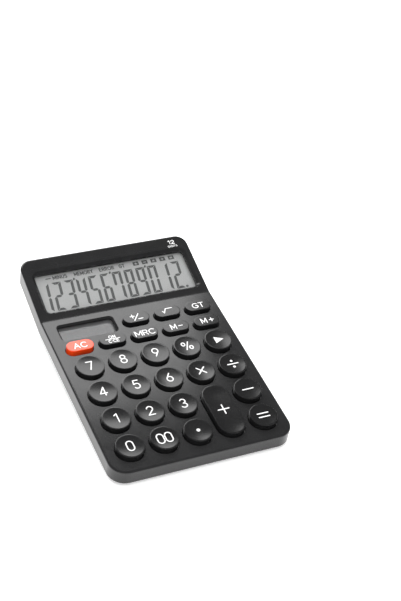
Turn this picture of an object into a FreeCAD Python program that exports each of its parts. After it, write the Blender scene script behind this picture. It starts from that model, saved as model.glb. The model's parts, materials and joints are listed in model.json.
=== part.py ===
"""Desk calculator with a bent moulded housing and twenty-seven travelling keys.

The housing holds a recessed display, a solar cell and a button cell. Most pieces
are drawn in the frame of the key panel: X runs across the case, Y runs from the
front edge to the display and Z is the panel's normal, with the origin at the
middle of the grid of round keys, on the panel's outer face. Display pieces are
drawn in the display's plane and battery pieces on the floor of the tub. One tilt
about X then stands the assembly on its feet.
"""
import FreeCAD
import Part
import Sketcher
import math
import os

Vector = FreeCAD.Vector
Placement = FreeCAD.Placement
Rotation = FreeCAD.Rotation
FULL_TURN = 360
ACROSS = Vector(1, 0, 0)
UPWARD = Vector(0, 0, 1)

# Driving dimensions in millimetres and degrees.
DIMENSIONS = {
    # Housing, seen from above and from the side
    "case_width": 98.0,
    "front_reach": 41.0,
    "crease_reach": 67.0,
    "rear_reach": 107.2,
    "display_tilt": 11.6,
    "panel_tilt": 5.0,
    "crease_blend": 1.0,
    "front_band": 7.8,
    "crease_band": 8.3,
    "rear_drop": 1.2,
    "front_corner": 9.0,
    "rear_corner": 6.5,
    "edge_round": 1.1,
    "wall": 2.0,
    "panel_thick": 1.8,
    "display_thick": 3.0,
    # Openings in the housing
    "display_width": 92.4,
    "display_low": 3.8,
    "display_high": 34.0,
    "display_corner": 4.0,
    "display_bevel": 1.5,
    "solar_middle_x": -26.6,
    "solar_middle_y": 56.4,
    "solar_width": 32.0,
    "solar_depth": 12.3,
    "solar_corner": 2.6,
    "solar_bevel": 0.9,
    "through_cut": 0.2,
    # Keys
    "column_pitch": 18.0,
    "row_pitch": 18.5,
    "bar_row_low": 42.75,
    "bar_row_high": 54.8,
    "key_radius": 7.3,
    "bar_radius": 3.6,
    "key_rise": 3.15,
    "key_edge": 0.5,
    "key_gap": 0.39,
    "dish_depth": 0.85,
    "rim_land": 0.15,
    "lip_reach": 1.1,
    "lip_thick": 0.7,
    "lip_clear": 0.15,
    "key_skin": 1.2,
    "stem_radius": 2.2,
    "bar_stem_radius": 1.1,
    "stem_drop": 3.0,
    # Key mat and board, by their depth under the panel's outer face
    "mat_top": 4.6,
    "mat_thick": 0.6,
    "mat_half_width": 41.0,
    "mat_front": 33.2,
    "mat_rear": 59.2,
    "dome_radius": 3.4,
    "bar_dome_radius": 2.3,
    "dome_height": 1.55,
    "dome_slope": 35.0,
    "board_thick": 1.2,
    "board_half_width": 41.6,
    "board_front": 33.6,
    "board_rear": 65.0,
    "mat_hole_gap": 0.5,
    "board_hole_gap": 0.25,
    "boss_radius": 2.2,
    "pilot_radius": 0.9,
    "rear_boss_x": 5.0,
    "rear_boss_y": 62.3,
    "chip_radius": 6.0,
    "chip_height": 1.5,
    # Solar pieces
    "solar_window_thick": 0.8,
    "solar_window_lap": 0.4,
    "solar_cell_gap": 0.05,
    "solar_cell_thick": 1.1,
    "solar_cell_lap": 1.0,
    "solar_lead_spread": 9.6,
    "solar_lead_margin": 1.6,
    # Display pieces, in the display's plane
    "window_thick": 0.8,
    "window_margin": 0.4,
    "display_end": 1.2,
    "glass_gap": 0.1,
    "glass_thick": 1.1,
    "glass_inset": 0.7,
    "glass_margin": 1.2,
    "glass_ledge": 2.0,
    "holder_thick": 0.8,
    "holder_inset": 0.4,
    "holder_rail": 3.7,
    "holder_window_half": 19.4,
    "ribbon_thick": 0.25,
    "ribbon_gap": 0.05,
    "ribbon_margin": 0.2,
    "ribbon_tail": 1.4,
    "ribbon_foot": 2.9,
    "ribbon_foot_inset": 0.3,
    "ribbon_width": 28.0,
    # Bottom case and its tub
    "seam_gap": 0.15,
    "flange_thick": 1.2,
    "tub_half_width": 38.0,
    "tub_front": 31.0,
    "tub_rear": 96.0,
    "tub_rake": 2.0,
    "tub_skin": 1.6,
    "tub_corner": 4.0,
    "tub_round": 1.0,
    "floor_start": 30.0,
    "floor_drop": 9.3,
    # Feet and screws
    "foot_radius": 4.6,
    "foot_rise": 1.2,
    "foot_sink": 0.5,
    "foot_gap": 0.1,
    "foot_spread": 29.0,
    "foot_front": 8.0,
    "foot_rear": 114.0,
    "screw_radius": 0.85,
    "screw_head_radius": 1.8,
    "screw_head_thick": 1.2,
    "screw_seat": 0.4,
    "screw_head_gap": 0.2,
    "screw_hole_gap": 0.3,
    "case_shank": 4.6,
    "board_shank": 4.2,
    "front_screw_x": 27.0,
    "front_screw_y": -36.3,
    "rear_screw_x": 38.0,
    "rear_screw_y": 102.9,
    # Battery box, measured along the tub's floor
    "cell_radius": 5.8,
    "cell_height": 5.4,
    "cell_place": 108.0,
    "cell_lift": 3.0,
    "cell_shoulder": 1.4,
    "cell_crimp": 0.9,
    "cell_step": 0.5,
    "door_half_width": 12.0,
    "door_tongue": 2.0,
    "door_tongue_thick": 0.9,
    "door_front": 97.0,
    "door_gap": 0.2,
    "groove_radius": 0.5,
    "groove_depth": 0.5,
    "groove_start": 11.5,
    "groove_pitch": 2.5,
    "groove_half_run": 6.6,
    "box_half_width": 16.0,
    "box_skin": 1.3,
    "box_height": 9.9,
    "contact_thick": 0.3,
    "contact_width": 3.2,
    "contact_spread": 2.3,
    "contact_root": 3.6,
    "contact_bend": 1.2,
    "contact_tip": 3.4,
    "contact_clear": 0.05,
    "lead_radius": 0.5,
    "lead_bend": 0.9,
    "lead_gap": 0.1,
}

# Round keys by row, from the row nearest the display
ROUND_ROWS = (
    ("key_7", "key_8", "key_9", "key_percent", "key_backspace"),
    ("key_4", "key_5", "key_6", "key_times", "key_divide"),
    ("key_1", "key_2", "key_3", None, "key_minus"),
    ("key_0", "key_00", "key_point", None, "key_equals"),
)
# Oblong keys by row, from the row nearest the round keys
BAR_ROWS = (
    ("key_all_clear", "key_clear", "key_memory_recall", "key_memory_subtract", "key_memory_add"),
    (None, None, "key_sign", "key_root", "key_grand_total"),
)
TALL_KEY = "key_plus"
TALL_COLUMN = 3
TALL_ROW = 2.5
MIDDLE_COLUMN = 2
MIDDLE_ROW = 1.5
GROOVE_COUNT = 5

# Board screws between the keys, in columns and rows from the middle of the round keys
BOARD_SCREW_GRID = ((-1.5, -1), (1.5, 0), (-1.5, 1), (1.5, 1))

# How near a point has to lie to an edge or face to count as on it, and how tall a corner's edge is at least
CLOSE = 1e-3
EDGE_SLACK = 0.1
TALL_EDGE = 1.0


class Size:
    """A dimension that keeps its number beside its spreadsheet expression."""

    def __init__(self, number, text):
        self.number = number
        self.text = text

    def __add__(self, other):
        other = as_size(other)
        return Size(self.number + other.number, f"({self.text} + {other.text})")

    def __radd__(self, other):
        return as_size(other) + self

    def __sub__(self, other):
        other = as_size(other)
        return Size(self.number - other.number, f"({self.text} - {other.text})")

    def __rsub__(self, other):
        return as_size(other) - self

    def __mul__(self, other):
        other = as_size(other)
        return Size(self.number * other.number, f"({self.text} * {other.text})")

    def __rmul__(self, other):
        return as_size(other) * self

    def __truediv__(self, other):
        other = as_size(other)
        return Size(self.number / other.number, f"({self.text} / {other.text})")

    def __neg__(self):
        return Size(-self.number, f"(0 - {self.text})")


class Dimensions:
    """Gives each spreadsheet cell as a Size under its alias."""

    def __getattr__(self, alias):
        return Size(DIMENSIONS[alias], "Dims." + alias)


def as_size(value):
    """Return a plain number as a Size, and a Size as it is."""
    if isinstance(value, Size):
        return value
    return Size(float(value), f"({float(value)!r})")


def tangent(angle):
    """Return the tangent of an angle in degrees."""
    return Size(math.tan(math.radians(angle.number)), f"tan({angle.text})")


def cosine(angle):
    """Return the cosine of an angle in degrees."""
    return Size(math.cos(math.radians(angle.number)), f"cos({angle.text})")


def sine(angle):
    """Return the sine of an angle in degrees."""
    return Size(math.sin(math.radians(angle.number)), f"sin({angle.text})")


doc = FreeCAD.newDocument("desk_calculator")
dims = Dimensions()
parts = []


def write_sheet():
    """Put every driving dimension in an aliased cell."""
    sheet = doc.addObject("Spreadsheet::Sheet", "Dims")
    for row, (alias, number) in enumerate(DIMENSIONS.items(), start=1):
        sheet.set(f"A{row}", alias)
        sheet.set(f"B{row}", str(number))
        sheet.setAlias(f"B{row}", alias)
    doc.recompute()


# Sketch helpers


def new_body(label):
    """Start a sub-part under its node's name."""
    body = doc.addObject("PartDesign::Body", label)
    body.Label = label
    parts.append(body)
    return body


def new_sketch(body, role, lift=None):
    """Attach a sketch to one of the body's origin planes, lifted along its normal."""
    plane = next(item for item in body.Origin.OriginFeatures if item.Role == role)
    sketch = body.newObject("Sketcher::SketchObject", body.Label + "_sketch")
    sketch.AttachmentSupport = [(plane, "")]
    sketch.MapMode = "FlatFace"
    if lift is not None:
        sketch.AttachmentOffset = Placement(Vector(0, 0, lift.number), Rotation())
        sketch.setExpression("AttachmentOffset.Base.z", lift.text)
    return sketch


def tilted_sketch(body, y, z, angle, lift=0.0):
    """Attach a sketch to a plane tilted about X through a point, lifted along its own normal."""
    sketch = new_sketch(body, "XY_Plane")
    raise_y = y - sine(angle) * lift
    raise_z = z + cosine(angle) * lift
    spot = Vector(0, raise_y.number, raise_z.number)
    sketch.AttachmentOffset = Placement(spot, Rotation(ACROSS, angle.number))
    sketch.setExpression("AttachmentOffset.Base.y", raise_y.text)
    sketch.setExpression("AttachmentOffset.Base.z", raise_z.text)
    sketch.setExpression("AttachmentOffset.Rotation.Angle", angle.text)
    return sketch


def bind(sketch, kind, geometry, point, size):
    """Hold a point at a signed distance from the sketch's origin."""
    index = sketch.addConstraint(Sketcher.Constraint(kind, -1, 1, geometry, point, size.number))
    sketch.setExpression(f"Constraints[{index}]", size.text)


def draw_loop(sketch, corners, bends=None):
    """Draw a closed loop through corners, with some sides bent into arcs.

    bends maps a side's number to the arc's centre and whether it turns clockwise.
    """
    corners = [(as_size(x), as_size(y)) for x, y in corners]
    bends = bends or {}
    spots = [Vector(x.number, y.number, 0) for x, y in corners]
    count = len(corners)
    sides = []
    for side in range(count):
        start, end = spots[side], spots[(side + 1) % count]
        if side not in bends:
            sides.append((sketch.addGeometry(Part.LineSegment(start, end)), 1, 2))
            continue
        centre_x, centre_y, clockwise = bends[side]
        middle = Vector(as_size(centre_x).number, as_size(centre_y).number, 0)
        first, last = (end, start) if clockwise else (start, end)
        angles = [math.atan2(spot.y - middle.y, spot.x - middle.x) for spot in (first, last)]
        circle = Part.Circle(middle, UPWARD, middle.distanceToPoint(start))
        arc = sketch.addGeometry(Part.ArcOfCircle(circle, angles[0], angles[1]))
        sides.append((arc, 2, 1) if clockwise else (arc, 1, 2))
    for side in range(count):
        following = sides[(side + 1) % count]
        joint = Sketcher.Constraint("Coincident", sides[side][0], sides[side][2], following[0], following[1])
        sketch.addConstraint(joint)
    for (x, y), side in zip(corners, sides):
        bind(sketch, "DistanceX", side[0], side[1], x)
        bind(sketch, "DistanceY", side[0], side[1], y)
    for side, (centre_x, centre_y, _) in bends.items():
        if is_near(spots[side].y, spots[(side + 1) % count].y):
            bind(sketch, "DistanceY", sides[side][0], 3, as_size(centre_y))
        else:
            bind(sketch, "DistanceX", sides[side][0], 3, as_size(centre_x))


def draw_rectangle(sketch, x_low, x_high, y_low, y_high, low_round, high_round):
    """Draw a rectangle with one corner radius at its low side and one at its high side."""
    corners = (
        (x_low + low_round, y_low),
        (x_high - low_round, y_low),
        (x_high, y_low + low_round),
        (x_high, y_high - high_round),
        (x_high - high_round, y_high),
        (x_low + high_round, y_high),
        (x_low, y_high - high_round),
        (x_low, y_low + low_round),
    )
    bends = {
        1: (x_high - low_round, y_low + low_round, False),
        3: (x_high - high_round, y_high - high_round, False),
        5: (x_low + high_round, y_high - high_round, False),
        7: (x_low + low_round, y_low + low_round, False),
    }
    draw_loop(sketch, corners, bends)


def draw_box(sketch, x_low, x_high, y_low, y_high):
    """Draw a rectangle with square corners."""
    draw_loop(sketch, ((x_low, y_low), (x_high, y_low), (x_high, y_high), (x_low, y_high)))


def draw_circle(sketch, x, y, radius):
    """Draw a circle about a point."""
    x, y, radius = as_size(x), as_size(y), as_size(radius)
    circle = Part.Circle(Vector(x.number, y.number, 0), UPWARD, radius.number)
    geometry = sketch.addGeometry(circle)
    bind(sketch, "DistanceX", geometry, 3, x)
    bind(sketch, "DistanceY", geometry, 3, y)
    index = sketch.addConstraint(Sketcher.Constraint("Radius", geometry, radius.number))
    sketch.setExpression(f"Constraints[{index}]", radius.text)


def draw_slot(sketch, x, y, radius, half_run, upright=False):
    """Draw a slot with round ends, along X or upright along Y."""
    x, y = as_size(x), as_size(y)
    if upright:
        corners = ((x + radius, y - half_run), (x + radius, y + half_run))
        corners += ((x - radius, y + half_run), (x - radius, y - half_run))
        bends = {1: (x, y + half_run, False), 3: (x, y - half_run, False)}
    else:
        corners = ((x - half_run, y - radius), (x + half_run, y - radius))
        corners += ((x + half_run, y + radius), (x - half_run, y + radius))
        bends = {1: (x + half_run, y, False), 3: (x - half_run, y, False)}
    draw_loop(sketch, corners, bends)


# Feature helpers


def extrude(body, kind, sketch, length, symmetric=False, reverse=False):
    """Pad or pocket a sketch and check that the body's volume changed the right way."""
    before = body.Shape.Volume if body.Tip else 0.0
    feature = body.newObject("PartDesign::" + kind, body.Label + "_" + kind.lower())
    feature.Profile = sketch
    feature.SideType = "Symmetric" if symmetric else "One side"
    feature.Reversed = reverse
    feature.Length = length.number
    feature.setExpression("Length", length.text)
    doc.recompute()
    gained = body.Shape.Volume - before
    if (kind == "Pad") != (gained > 0) or gained == 0:
        raise RuntimeError(f"{feature.Label} changed the volume by {gained:.3f}")
    return feature


def pad(body, sketch, length, symmetric=False, reverse=False):
    """Add a prism of a sketch."""
    return extrude(body, "Pad", sketch, as_size(length), symmetric, reverse)


def pocket(body, sketch, length, symmetric=False, reverse=False):
    """Cut a prism of a sketch."""
    return extrude(body, "Pocket", sketch, as_size(length), symmetric, reverse)


def revolve(body, sketch):
    """Turn a sketch once about its own upright axis."""
    feature = body.newObject("PartDesign::Revolution", body.Label + "_revolution")
    feature.Profile = sketch
    feature.ReferenceAxis = (sketch, ["V_Axis"])
    feature.Angle = FULL_TURN
    doc.recompute()
    return feature


def middle_of(edge):
    """Return the point halfway along an edge."""
    return edge.valueAt((edge.FirstParameter + edge.LastParameter) / 2)


def dress_edges(body, kind, test, size):
    """Fillet or chamfer the edges of the body's tip that pass a test."""
    base = body.Tip
    names = [f"Edge{number}" for number, edge in enumerate(base.Shape.Edges, start=1) if test(edge)]
    if not names:
        raise RuntimeError(f"{body.Label} has no edge to dress")
    feature = body.newObject("PartDesign::" + kind, body.Label + "_" + kind.lower())
    feature.Base = (base, names)
    measure = "Radius" if kind == "Fillet" else "Size"
    setattr(feature, measure, size.number)
    feature.setExpression(measure, size.text)
    doc.recompute()
    return feature


def is_near(value, target, within=CLOSE):
    """Tell whether two numbers agree."""
    return abs(value - target) < within


# Places that several pieces share

SLOPE = tangent(dims.display_tilt)
HALF_WIDTH = dims.case_width / 2
FLOOR_SLOPE = tangent(dims.panel_tilt)
BOARD_TOP = dims.mat_top + dims.mat_thick
BOARD_BOTTOM = BOARD_TOP + dims.board_thick
DISPLAY_CEILING = dims.display_thick / cosine(dims.display_tilt)


def display_face(y):
    """Return the height of the display's outer face at a reach along Y."""
    return (y - dims.crease_reach) * SLOPE


def band_edge(y):
    """Return the height of the side band's lower edge behind the crease."""
    climb = (dims.crease_band - dims.rear_drop) / (dims.rear_reach - dims.crease_reach)
    return (y - dims.crease_reach) * climb - dims.crease_band


def floor_face(y):
    """Return the height of the tub's outer floor at a reach along Y."""
    return -dims.floor_drop - (y + dims.floor_start) * FLOOR_SLOPE


def column_place(column):
    """Return where a column of keys stands along X."""
    return (column - MIDDLE_COLUMN) * dims.column_pitch


def row_place(row):
    """Return where a row of round keys stands along Y."""
    return (MIDDLE_ROW - row) * dims.row_pitch


def key_places():
    """Yield each key's label, kind and place on the panel."""
    for row, labels in enumerate(ROUND_ROWS):
        for column, label in enumerate(labels):
            if label:
                yield label, "round", column_place(column), row_place(row)
    for reach, labels in zip((dims.bar_row_low, dims.bar_row_high), BAR_ROWS):
        for column, label in enumerate(labels):
            if label:
                yield label, "bar", column_place(column), reach
    yield TALL_KEY, "tall", column_place(TALL_COLUMN), row_place(TALL_ROW)


def board_screw_places():
    """Return the place of each screw that holds the board."""
    places = [(column * dims.column_pitch, row * dims.row_pitch) for column, row in BOARD_SCREW_GRID]
    right = BOARD_SCREW_GRID[-1][0] * dims.column_pitch
    return places + [(right, dims.rear_boss_y), (-dims.rear_boss_x, dims.rear_boss_y)]


def draw_key_outline(sketch, kind, x, y, grow=0.0):
    """Draw a key's outline, grown or shrunk all round."""
    if kind == "round":
        draw_circle(sketch, x, y, dims.key_radius + grow)
    elif kind == "tall":
        draw_slot(sketch, x, y, dims.key_radius + grow, dims.row_pitch / 2, upright=True)
    else:
        draw_slot(sketch, x, y, dims.bar_radius + grow, dims.key_radius - dims.bar_radius)


# Housing


def make_top_case():
    """Bent shell with the display and solar openings, the key holes and the screw bosses."""
    body = new_body("top_case")
    run = dims.crease_blend * cosine(dims.display_tilt)
    rise = dims.crease_blend * sine(dims.display_tilt)
    bend_radius = dims.crease_blend / tangent(dims.display_tilt / 2)

    section = new_sketch(body, "YZ_Plane")
    corners = (
        (-dims.front_reach, -dims.front_band),
        (dims.crease_reach, -dims.crease_band),
        (dims.rear_reach, -dims.rear_drop),
        (dims.rear_reach, display_face(dims.rear_reach)),
        (dims.crease_reach + run, rise),
        (dims.crease_reach - dims.crease_blend, 0),
        (-dims.front_reach, 0),
    )
    draw_loop(section, corners, {4: (dims.crease_reach - dims.crease_blend, bend_radius, True)})
    pad(body, section, dims.case_width, symmetric=True)

    hollow = new_sketch(body, "YZ_Plane")
    rear_inside = dims.rear_reach - dims.wall
    ceiling_turn = dims.crease_reach + (DISPLAY_CEILING - dims.panel_thick) / SLOPE
    corners = (
        (dims.wall - dims.front_reach, -2 * dims.crease_band),
        (rear_inside, -2 * dims.crease_band),
        (rear_inside, display_face(rear_inside) - DISPLAY_CEILING),
        (ceiling_turn, -dims.panel_thick),
        (dims.wall - dims.front_reach, -dims.panel_thick),
    )
    draw_loop(hollow, corners)
    pocket(body, hollow, dims.case_width - dims.wall * 2, symmetric=True)

    round_corners(body, dims.wall - dims.front_reach, HALF_WIDTH - dims.wall, dims.front_corner - dims.wall)
    round_corners(body, rear_inside, HALF_WIDTH - dims.wall, dims.rear_corner - dims.wall)
    round_corners(body, -dims.front_reach, HALF_WIDTH, dims.front_corner)
    round_corners(body, dims.rear_reach, HALF_WIDTH, dims.rear_corner)
    dress_edges(body, "Fillet", is_top_rim, dims.edge_round)

    make_display_opening(body)
    make_solar_opening(body)

    holes = new_sketch(body, "XY_Plane")
    for _, kind, x, y in key_places():
        draw_key_outline(holes, kind, x, y, dims.key_gap)
    pocket(body, holes, dims.panel_thick + dims.through_cut)

    bosses = new_sketch(body, "XY_Plane", -BOARD_TOP)
    for x, y in board_screw_places():
        draw_circle(bosses, x, y, dims.boss_radius)
        draw_circle(bosses, x, y, dims.pilot_radius)
    pad(body, bosses, BOARD_TOP - dims.panel_thick / 2)

    front_seat = dims.flange_thick - dims.front_band
    add_case_bosses(body, dims.front_screw_x, dims.front_screw_y, front_seat, -dims.panel_thick / 2)
    rear_seat = band_edge(dims.rear_screw_y + dims.boss_radius) + dims.flange_thick
    rear_ceiling = display_face(dims.rear_screw_y) - DISPLAY_CEILING / 2
    add_case_bosses(body, dims.rear_screw_x, dims.rear_screw_y, rear_seat, rear_ceiling)


def round_corners(body, y, half_width, radius):
    """Round the two upright edges at one end of the shell."""

    def is_corner(edge):
        ends = [vertex.Point for vertex in edge.Vertexes]
        tall = len(ends) == 2 and abs(ends[0].z - ends[1].z) > TALL_EDGE
        upright = tall and is_near(ends[0].y, ends[1].y)
        return upright and is_near(ends[0].y, y.number) and is_near(abs(ends[0].x), half_width.number)

    dress_edges(body, "Fillet", is_corner, radius)


def is_top_rim(edge):
    """Tell whether an edge lies on the rim of the housing's outer top face."""
    spot = middle_of(edge)
    ends = [vertex.Point for vertex in edge.Vertexes]
    blend = dims.crease_blend.number
    past_crease = spot.y - dims.crease_reach.number
    level = 0.0 if past_crease < blend else display_face(as_size(spot.y)).number
    slack = blend * SLOPE.number if abs(past_crease) <= blend else CLOSE
    on_top = abs(spot.z - level) <= slack
    crosses = len(ends) == 2 and is_near(ends[0].x, -ends[1].x) and abs(past_crease) < 2 * blend
    return on_top and not crosses and spot.z > -dims.panel_thick.number / 2


def make_display_opening(body):
    """Cut the display opening with its sloping bevel."""
    face = tilted_sketch(body, dims.crease_reach, as_size(0), dims.display_tilt)
    inset = dims.display_bevel
    half_width = dims.display_width / 2 - inset
    corner = dims.display_corner - inset
    low, high = dims.display_low + inset, dims.display_high - inset
    draw_rectangle(face, -half_width, half_width, low, high, corner, corner)
    pocket(body, face, dims.display_thick * 2)

    def is_rim(edge):
        spot = middle_of(edge)
        margin = dims.wall.number
        on_face = is_near(spot.z, display_face(as_size(spot.y)).number)
        within_x = abs(spot.x) < HALF_WIDTH.number - margin
        within_y = dims.crease_reach.number + margin < spot.y < dims.rear_reach.number - margin
        return on_face and within_x and within_y and edge.Length < 2 * half_width.number

    dress_edges(body, "Chamfer", is_rim, dims.display_bevel)


def make_solar_opening(body):
    """Cut the solar cell's opening with its bevel."""
    face = new_sketch(body, "XY_Plane")
    inset = dims.solar_bevel
    x_reach = dims.solar_width / 2 - inset
    y_reach = dims.solar_depth / 2 - inset
    corner = dims.solar_corner - inset
    x, y = dims.solar_middle_x, dims.solar_middle_y
    draw_rectangle(face, x - x_reach, x + x_reach, y - y_reach, y + y_reach, corner, corner)
    pocket(body, face, dims.panel_thick + dims.through_cut)

    def is_rim(edge):
        spot = middle_of(edge)
        beside = abs(spot.x - x.number) < x_reach.number + EDGE_SLACK
        along = abs(spot.y - y.number) < y_reach.number + EDGE_SLACK
        return beside and along and is_near(spot.z, 0.0)

    dress_edges(body, "Chamfer", is_rim, dims.solar_bevel)


def add_case_bosses(body, x, y, low, high):
    """Add a pair of bosses that take the case screws."""
    ring = new_sketch(body, "XY_Plane", low)
    for side in (-1, 1):
        draw_circle(ring, side * x, y, dims.boss_radius)
        draw_circle(ring, side * x, y, dims.pilot_radius)
    pad(body, ring, high - low)


def make_bottom_case():
    """Inset cover with a wedge-shaped tub, screw seats, foot recesses and the battery box."""
    body = new_body("bottom_case")
    inset = dims.wall + dims.seam_gap
    front, rear = inset - dims.front_reach, dims.rear_reach - inset

    section = new_sketch(body, "YZ_Plane")
    corners = (
        (front, -dims.front_band),
        (dims.crease_reach, -dims.crease_band),
        (rear, band_edge(rear)),
        (rear, band_edge(rear) + dims.flange_thick),
        (dims.crease_reach, dims.flange_thick - dims.crease_band),
        (front, dims.flange_thick - dims.front_band),
    )
    draw_loop(section, corners)
    pad(body, section, dims.case_width - inset * 2, symmetric=True)
    round_flange(body, front, dims.front_corner - inset)
    round_flange(body, rear, dims.rear_corner - inset)

    tub = new_sketch(body, "YZ_Plane")
    lap = dims.flange_thick / 2
    heel = dims.tub_rear - dims.tub_rake
    toe = dims.tub_rake - dims.tub_front
    corners = (
        (-dims.tub_front, lap - dims.front_band),
        (toe, floor_face(toe)),
        (heel, floor_face(heel)),
        (dims.tub_rear, band_edge(dims.tub_rear) + lap),
        (dims.crease_reach, lap - dims.crease_band),
    )
    draw_loop(tub, corners)
    pad(body, tub, dims.tub_half_width * 2, symmetric=True)
    dress_edges(body, "Fillet", is_tub_corner, dims.tub_corner)
    dress_edges(body, "Fillet", is_tub_rim, dims.tub_round)

    hollow = new_sketch(body, "YZ_Plane")
    skin = dims.tub_skin
    corners = (
        (skin - dims.tub_front, dims.rear_drop),
        (toe + skin, floor_face(toe + skin) + skin),
        (heel - skin, floor_face(heel - skin) + skin),
        (dims.tub_rear - skin, dims.rear_drop),
    )
    draw_loop(hollow, corners)
    pocket(body, hollow, (dims.tub_half_width - skin) * 2, symmetric=True)

    cut_screw_seats(body, dims.front_screw_x, dims.front_screw_y, dims.screw_seat - dims.front_band)
    rear_face = band_edge(dims.rear_screw_y) + dims.screw_seat
    cut_screw_seats(body, dims.rear_screw_x, dims.rear_screw_y, rear_face)

    feet = floor_sketch(body)
    draw_feet(feet, dims.foot_radius + dims.foot_gap)
    pocket(body, feet, dims.foot_sink, reverse=True)
    make_battery_box(body)


def floor_sketch(body, lift=0.0):
    """Attach a sketch to the tub's outer floor, lifted into the tub."""
    return tilted_sketch(body, -dims.floor_start, -dims.floor_drop, -dims.panel_tilt, as_size(lift))


def draw_feet(sketch, radius):
    """Draw the four feet on the floor."""
    for side in (-1, 1):
        for place in (dims.foot_front, dims.foot_rear):
            draw_circle(sketch, side * dims.foot_spread, place, radius)


def round_flange(body, y, radius):
    """Round the two corners at one end of the cover's flange."""

    def is_corner(edge):
        ends = [vertex.Point for vertex in edge.Vertexes]
        upright = len(ends) == 2 and is_near(ends[0].x, ends[1].x) and is_near(ends[0].y, ends[1].y)
        return upright and is_near(ends[0].y, y.number)

    dress_edges(body, "Fillet", is_corner, radius)


def is_tub_corner(edge):
    """Tell whether an edge is one of the tub's two leaning rear corners."""
    ends = [vertex.Point for vertex in edge.Vertexes]
    if len(ends) != 2 or not is_near(ends[0].x, ends[1].x):
        return False
    at_side = is_near(abs(ends[0].x), dims.tub_half_width.number)
    leaning = EDGE_SLACK < abs(ends[0].y - ends[1].y) < dims.tub_rake.number + EDGE_SLACK
    return at_side and leaning and ends[0].y > dims.crease_reach.number


def is_tub_rim(edge):
    """Tell whether an edge borders the tub's outer floor."""
    spots = [middle_of(edge)] + [vertex.Point for vertex in edge.Vertexes]
    return all(is_near(spot.z, floor_face(as_size(spot.y)).number) for spot in spots)


def cut_screw_seats(body, x, y, seat):
    """Cut a pair of flat screw seats and their clearance holes, from below."""
    flats = new_sketch(body, "XY_Plane", seat)
    drills = new_sketch(body, "XY_Plane", seat)
    for side in (-1, 1):
        draw_circle(flats, side * x, y, dims.screw_head_radius + dims.screw_head_gap)
        draw_circle(drills, side * x, y, dims.screw_radius + dims.screw_hole_gap)
    pocket(body, flats, dims.flange_thick)
    pocket(body, drills, dims.flange_thick * 2, reverse=True)


def make_battery_box(body):
    """Add the battery box over the door's opening, with a round pocket for the cell."""
    half = dims.box_half_width
    skin = dims.box_skin
    heel_run = (dims.tub_rear - dims.tub_rake + dims.floor_start) / cosine(dims.panel_tilt)
    front = dims.door_front - skin * 2
    floor = dims.tub_skin

    box = floor_sketch(body, floor / 2)
    draw_box(box, -half, half, front, heel_run - dims.tub_skin / 2)
    pad(body, box, dims.box_height)

    inside = floor_sketch(body, floor)
    draw_box(inside, skin - half, half - skin, front + skin, heel_run - dims.tub_skin)
    pocket(body, inside, dims.box_height - floor / 2 - skin, reverse=True)

    opening = floor_sketch(body)
    reach = dims.door_half_width + dims.door_gap
    draw_box(opening, -reach, reach, dims.door_front - dims.door_gap, heel_run + dims.wall)
    pocket(body, opening, floor + dims.through_cut, reverse=True)

    slot = floor_sketch(body, floor)
    reach = dims.door_half_width + dims.door_tongue + dims.door_gap
    draw_box(slot, -reach, reach, heel_run - dims.tub_skin * 2, heel_run + dims.wall)
    pocket(body, slot, dims.door_tongue_thick + dims.door_gap * 2, reverse=True)

    ring = floor_sketch(body, dims.cell_lift + dims.cell_height / 3)
    draw_circle(ring, 0, dims.cell_place, dims.cell_radius + dims.door_gap + skin)
    draw_circle(ring, 0, dims.cell_place, dims.cell_radius + dims.door_gap)
    ceiling = dims.box_height + floor / 2 - skin
    pad(body, ring, ceiling + skin / 2 - dims.cell_lift - dims.cell_height / 3)

    leads = floor_sketch(body, ceiling - skin)
    for side in (-1, 1):
        draw_circle(leads, side * dims.contact_spread, dims.cell_place, dims.lead_radius + dims.door_gap)
    pocket(body, leads, skin * 4, reverse=True)


def make_battery_cover():
    """Slide-off door with side tongues and finger grooves."""
    body = new_body("battery_cover")
    heel_run = (dims.tub_rear - dims.tub_rake + dims.floor_start) / cosine(dims.panel_tilt)

    plate = new_sketch(body, "XY_Plane")
    draw_box(plate, -dims.door_half_width, dims.door_half_width, dims.door_front, heel_run)
    pad(body, plate, dims.tub_skin + dims.door_gap)

    tongue = new_sketch(body, "XY_Plane", dims.tub_skin + dims.door_gap)
    reach = dims.door_half_width + dims.door_tongue
    draw_box(tongue, -reach, reach, dims.door_front, heel_run - dims.door_gap)
    pad(body, tongue, dims.door_tongue_thick)

    grooves = new_sketch(body, "XY_Plane")
    for step in range(GROOVE_COUNT):
        place = dims.door_front + dims.groove_start + dims.groove_pitch * step
        draw_slot(grooves, 0, place, dims.groove_radius, dims.groove_half_run)
    pocket(body, grooves, dims.groove_depth, reverse=True)


def make_feet():
    """Four round rubber feet."""
    body = new_body("rubber_feet")
    feet = new_sketch(body, "XY_Plane", -dims.foot_rise)
    draw_feet(feet, dims.foot_radius)
    pad(body, feet, dims.foot_rise + dims.foot_sink)


def make_screws(label, heads, shank_length):
    """A group of like screws, given the place of each head's seat."""
    body = new_body(label)
    for seat, places in heads:
        shanks = new_sketch(body, "XY_Plane", seat)
        caps = new_sketch(body, "XY_Plane", seat)
        for x, y in places:
            draw_circle(shanks, x, y, dims.screw_radius)
            draw_circle(caps, x, y, dims.screw_head_radius)
        pad(body, shanks, shank_length)
        pad(body, caps, dims.screw_head_thick, reverse=True)


# Keys


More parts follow.
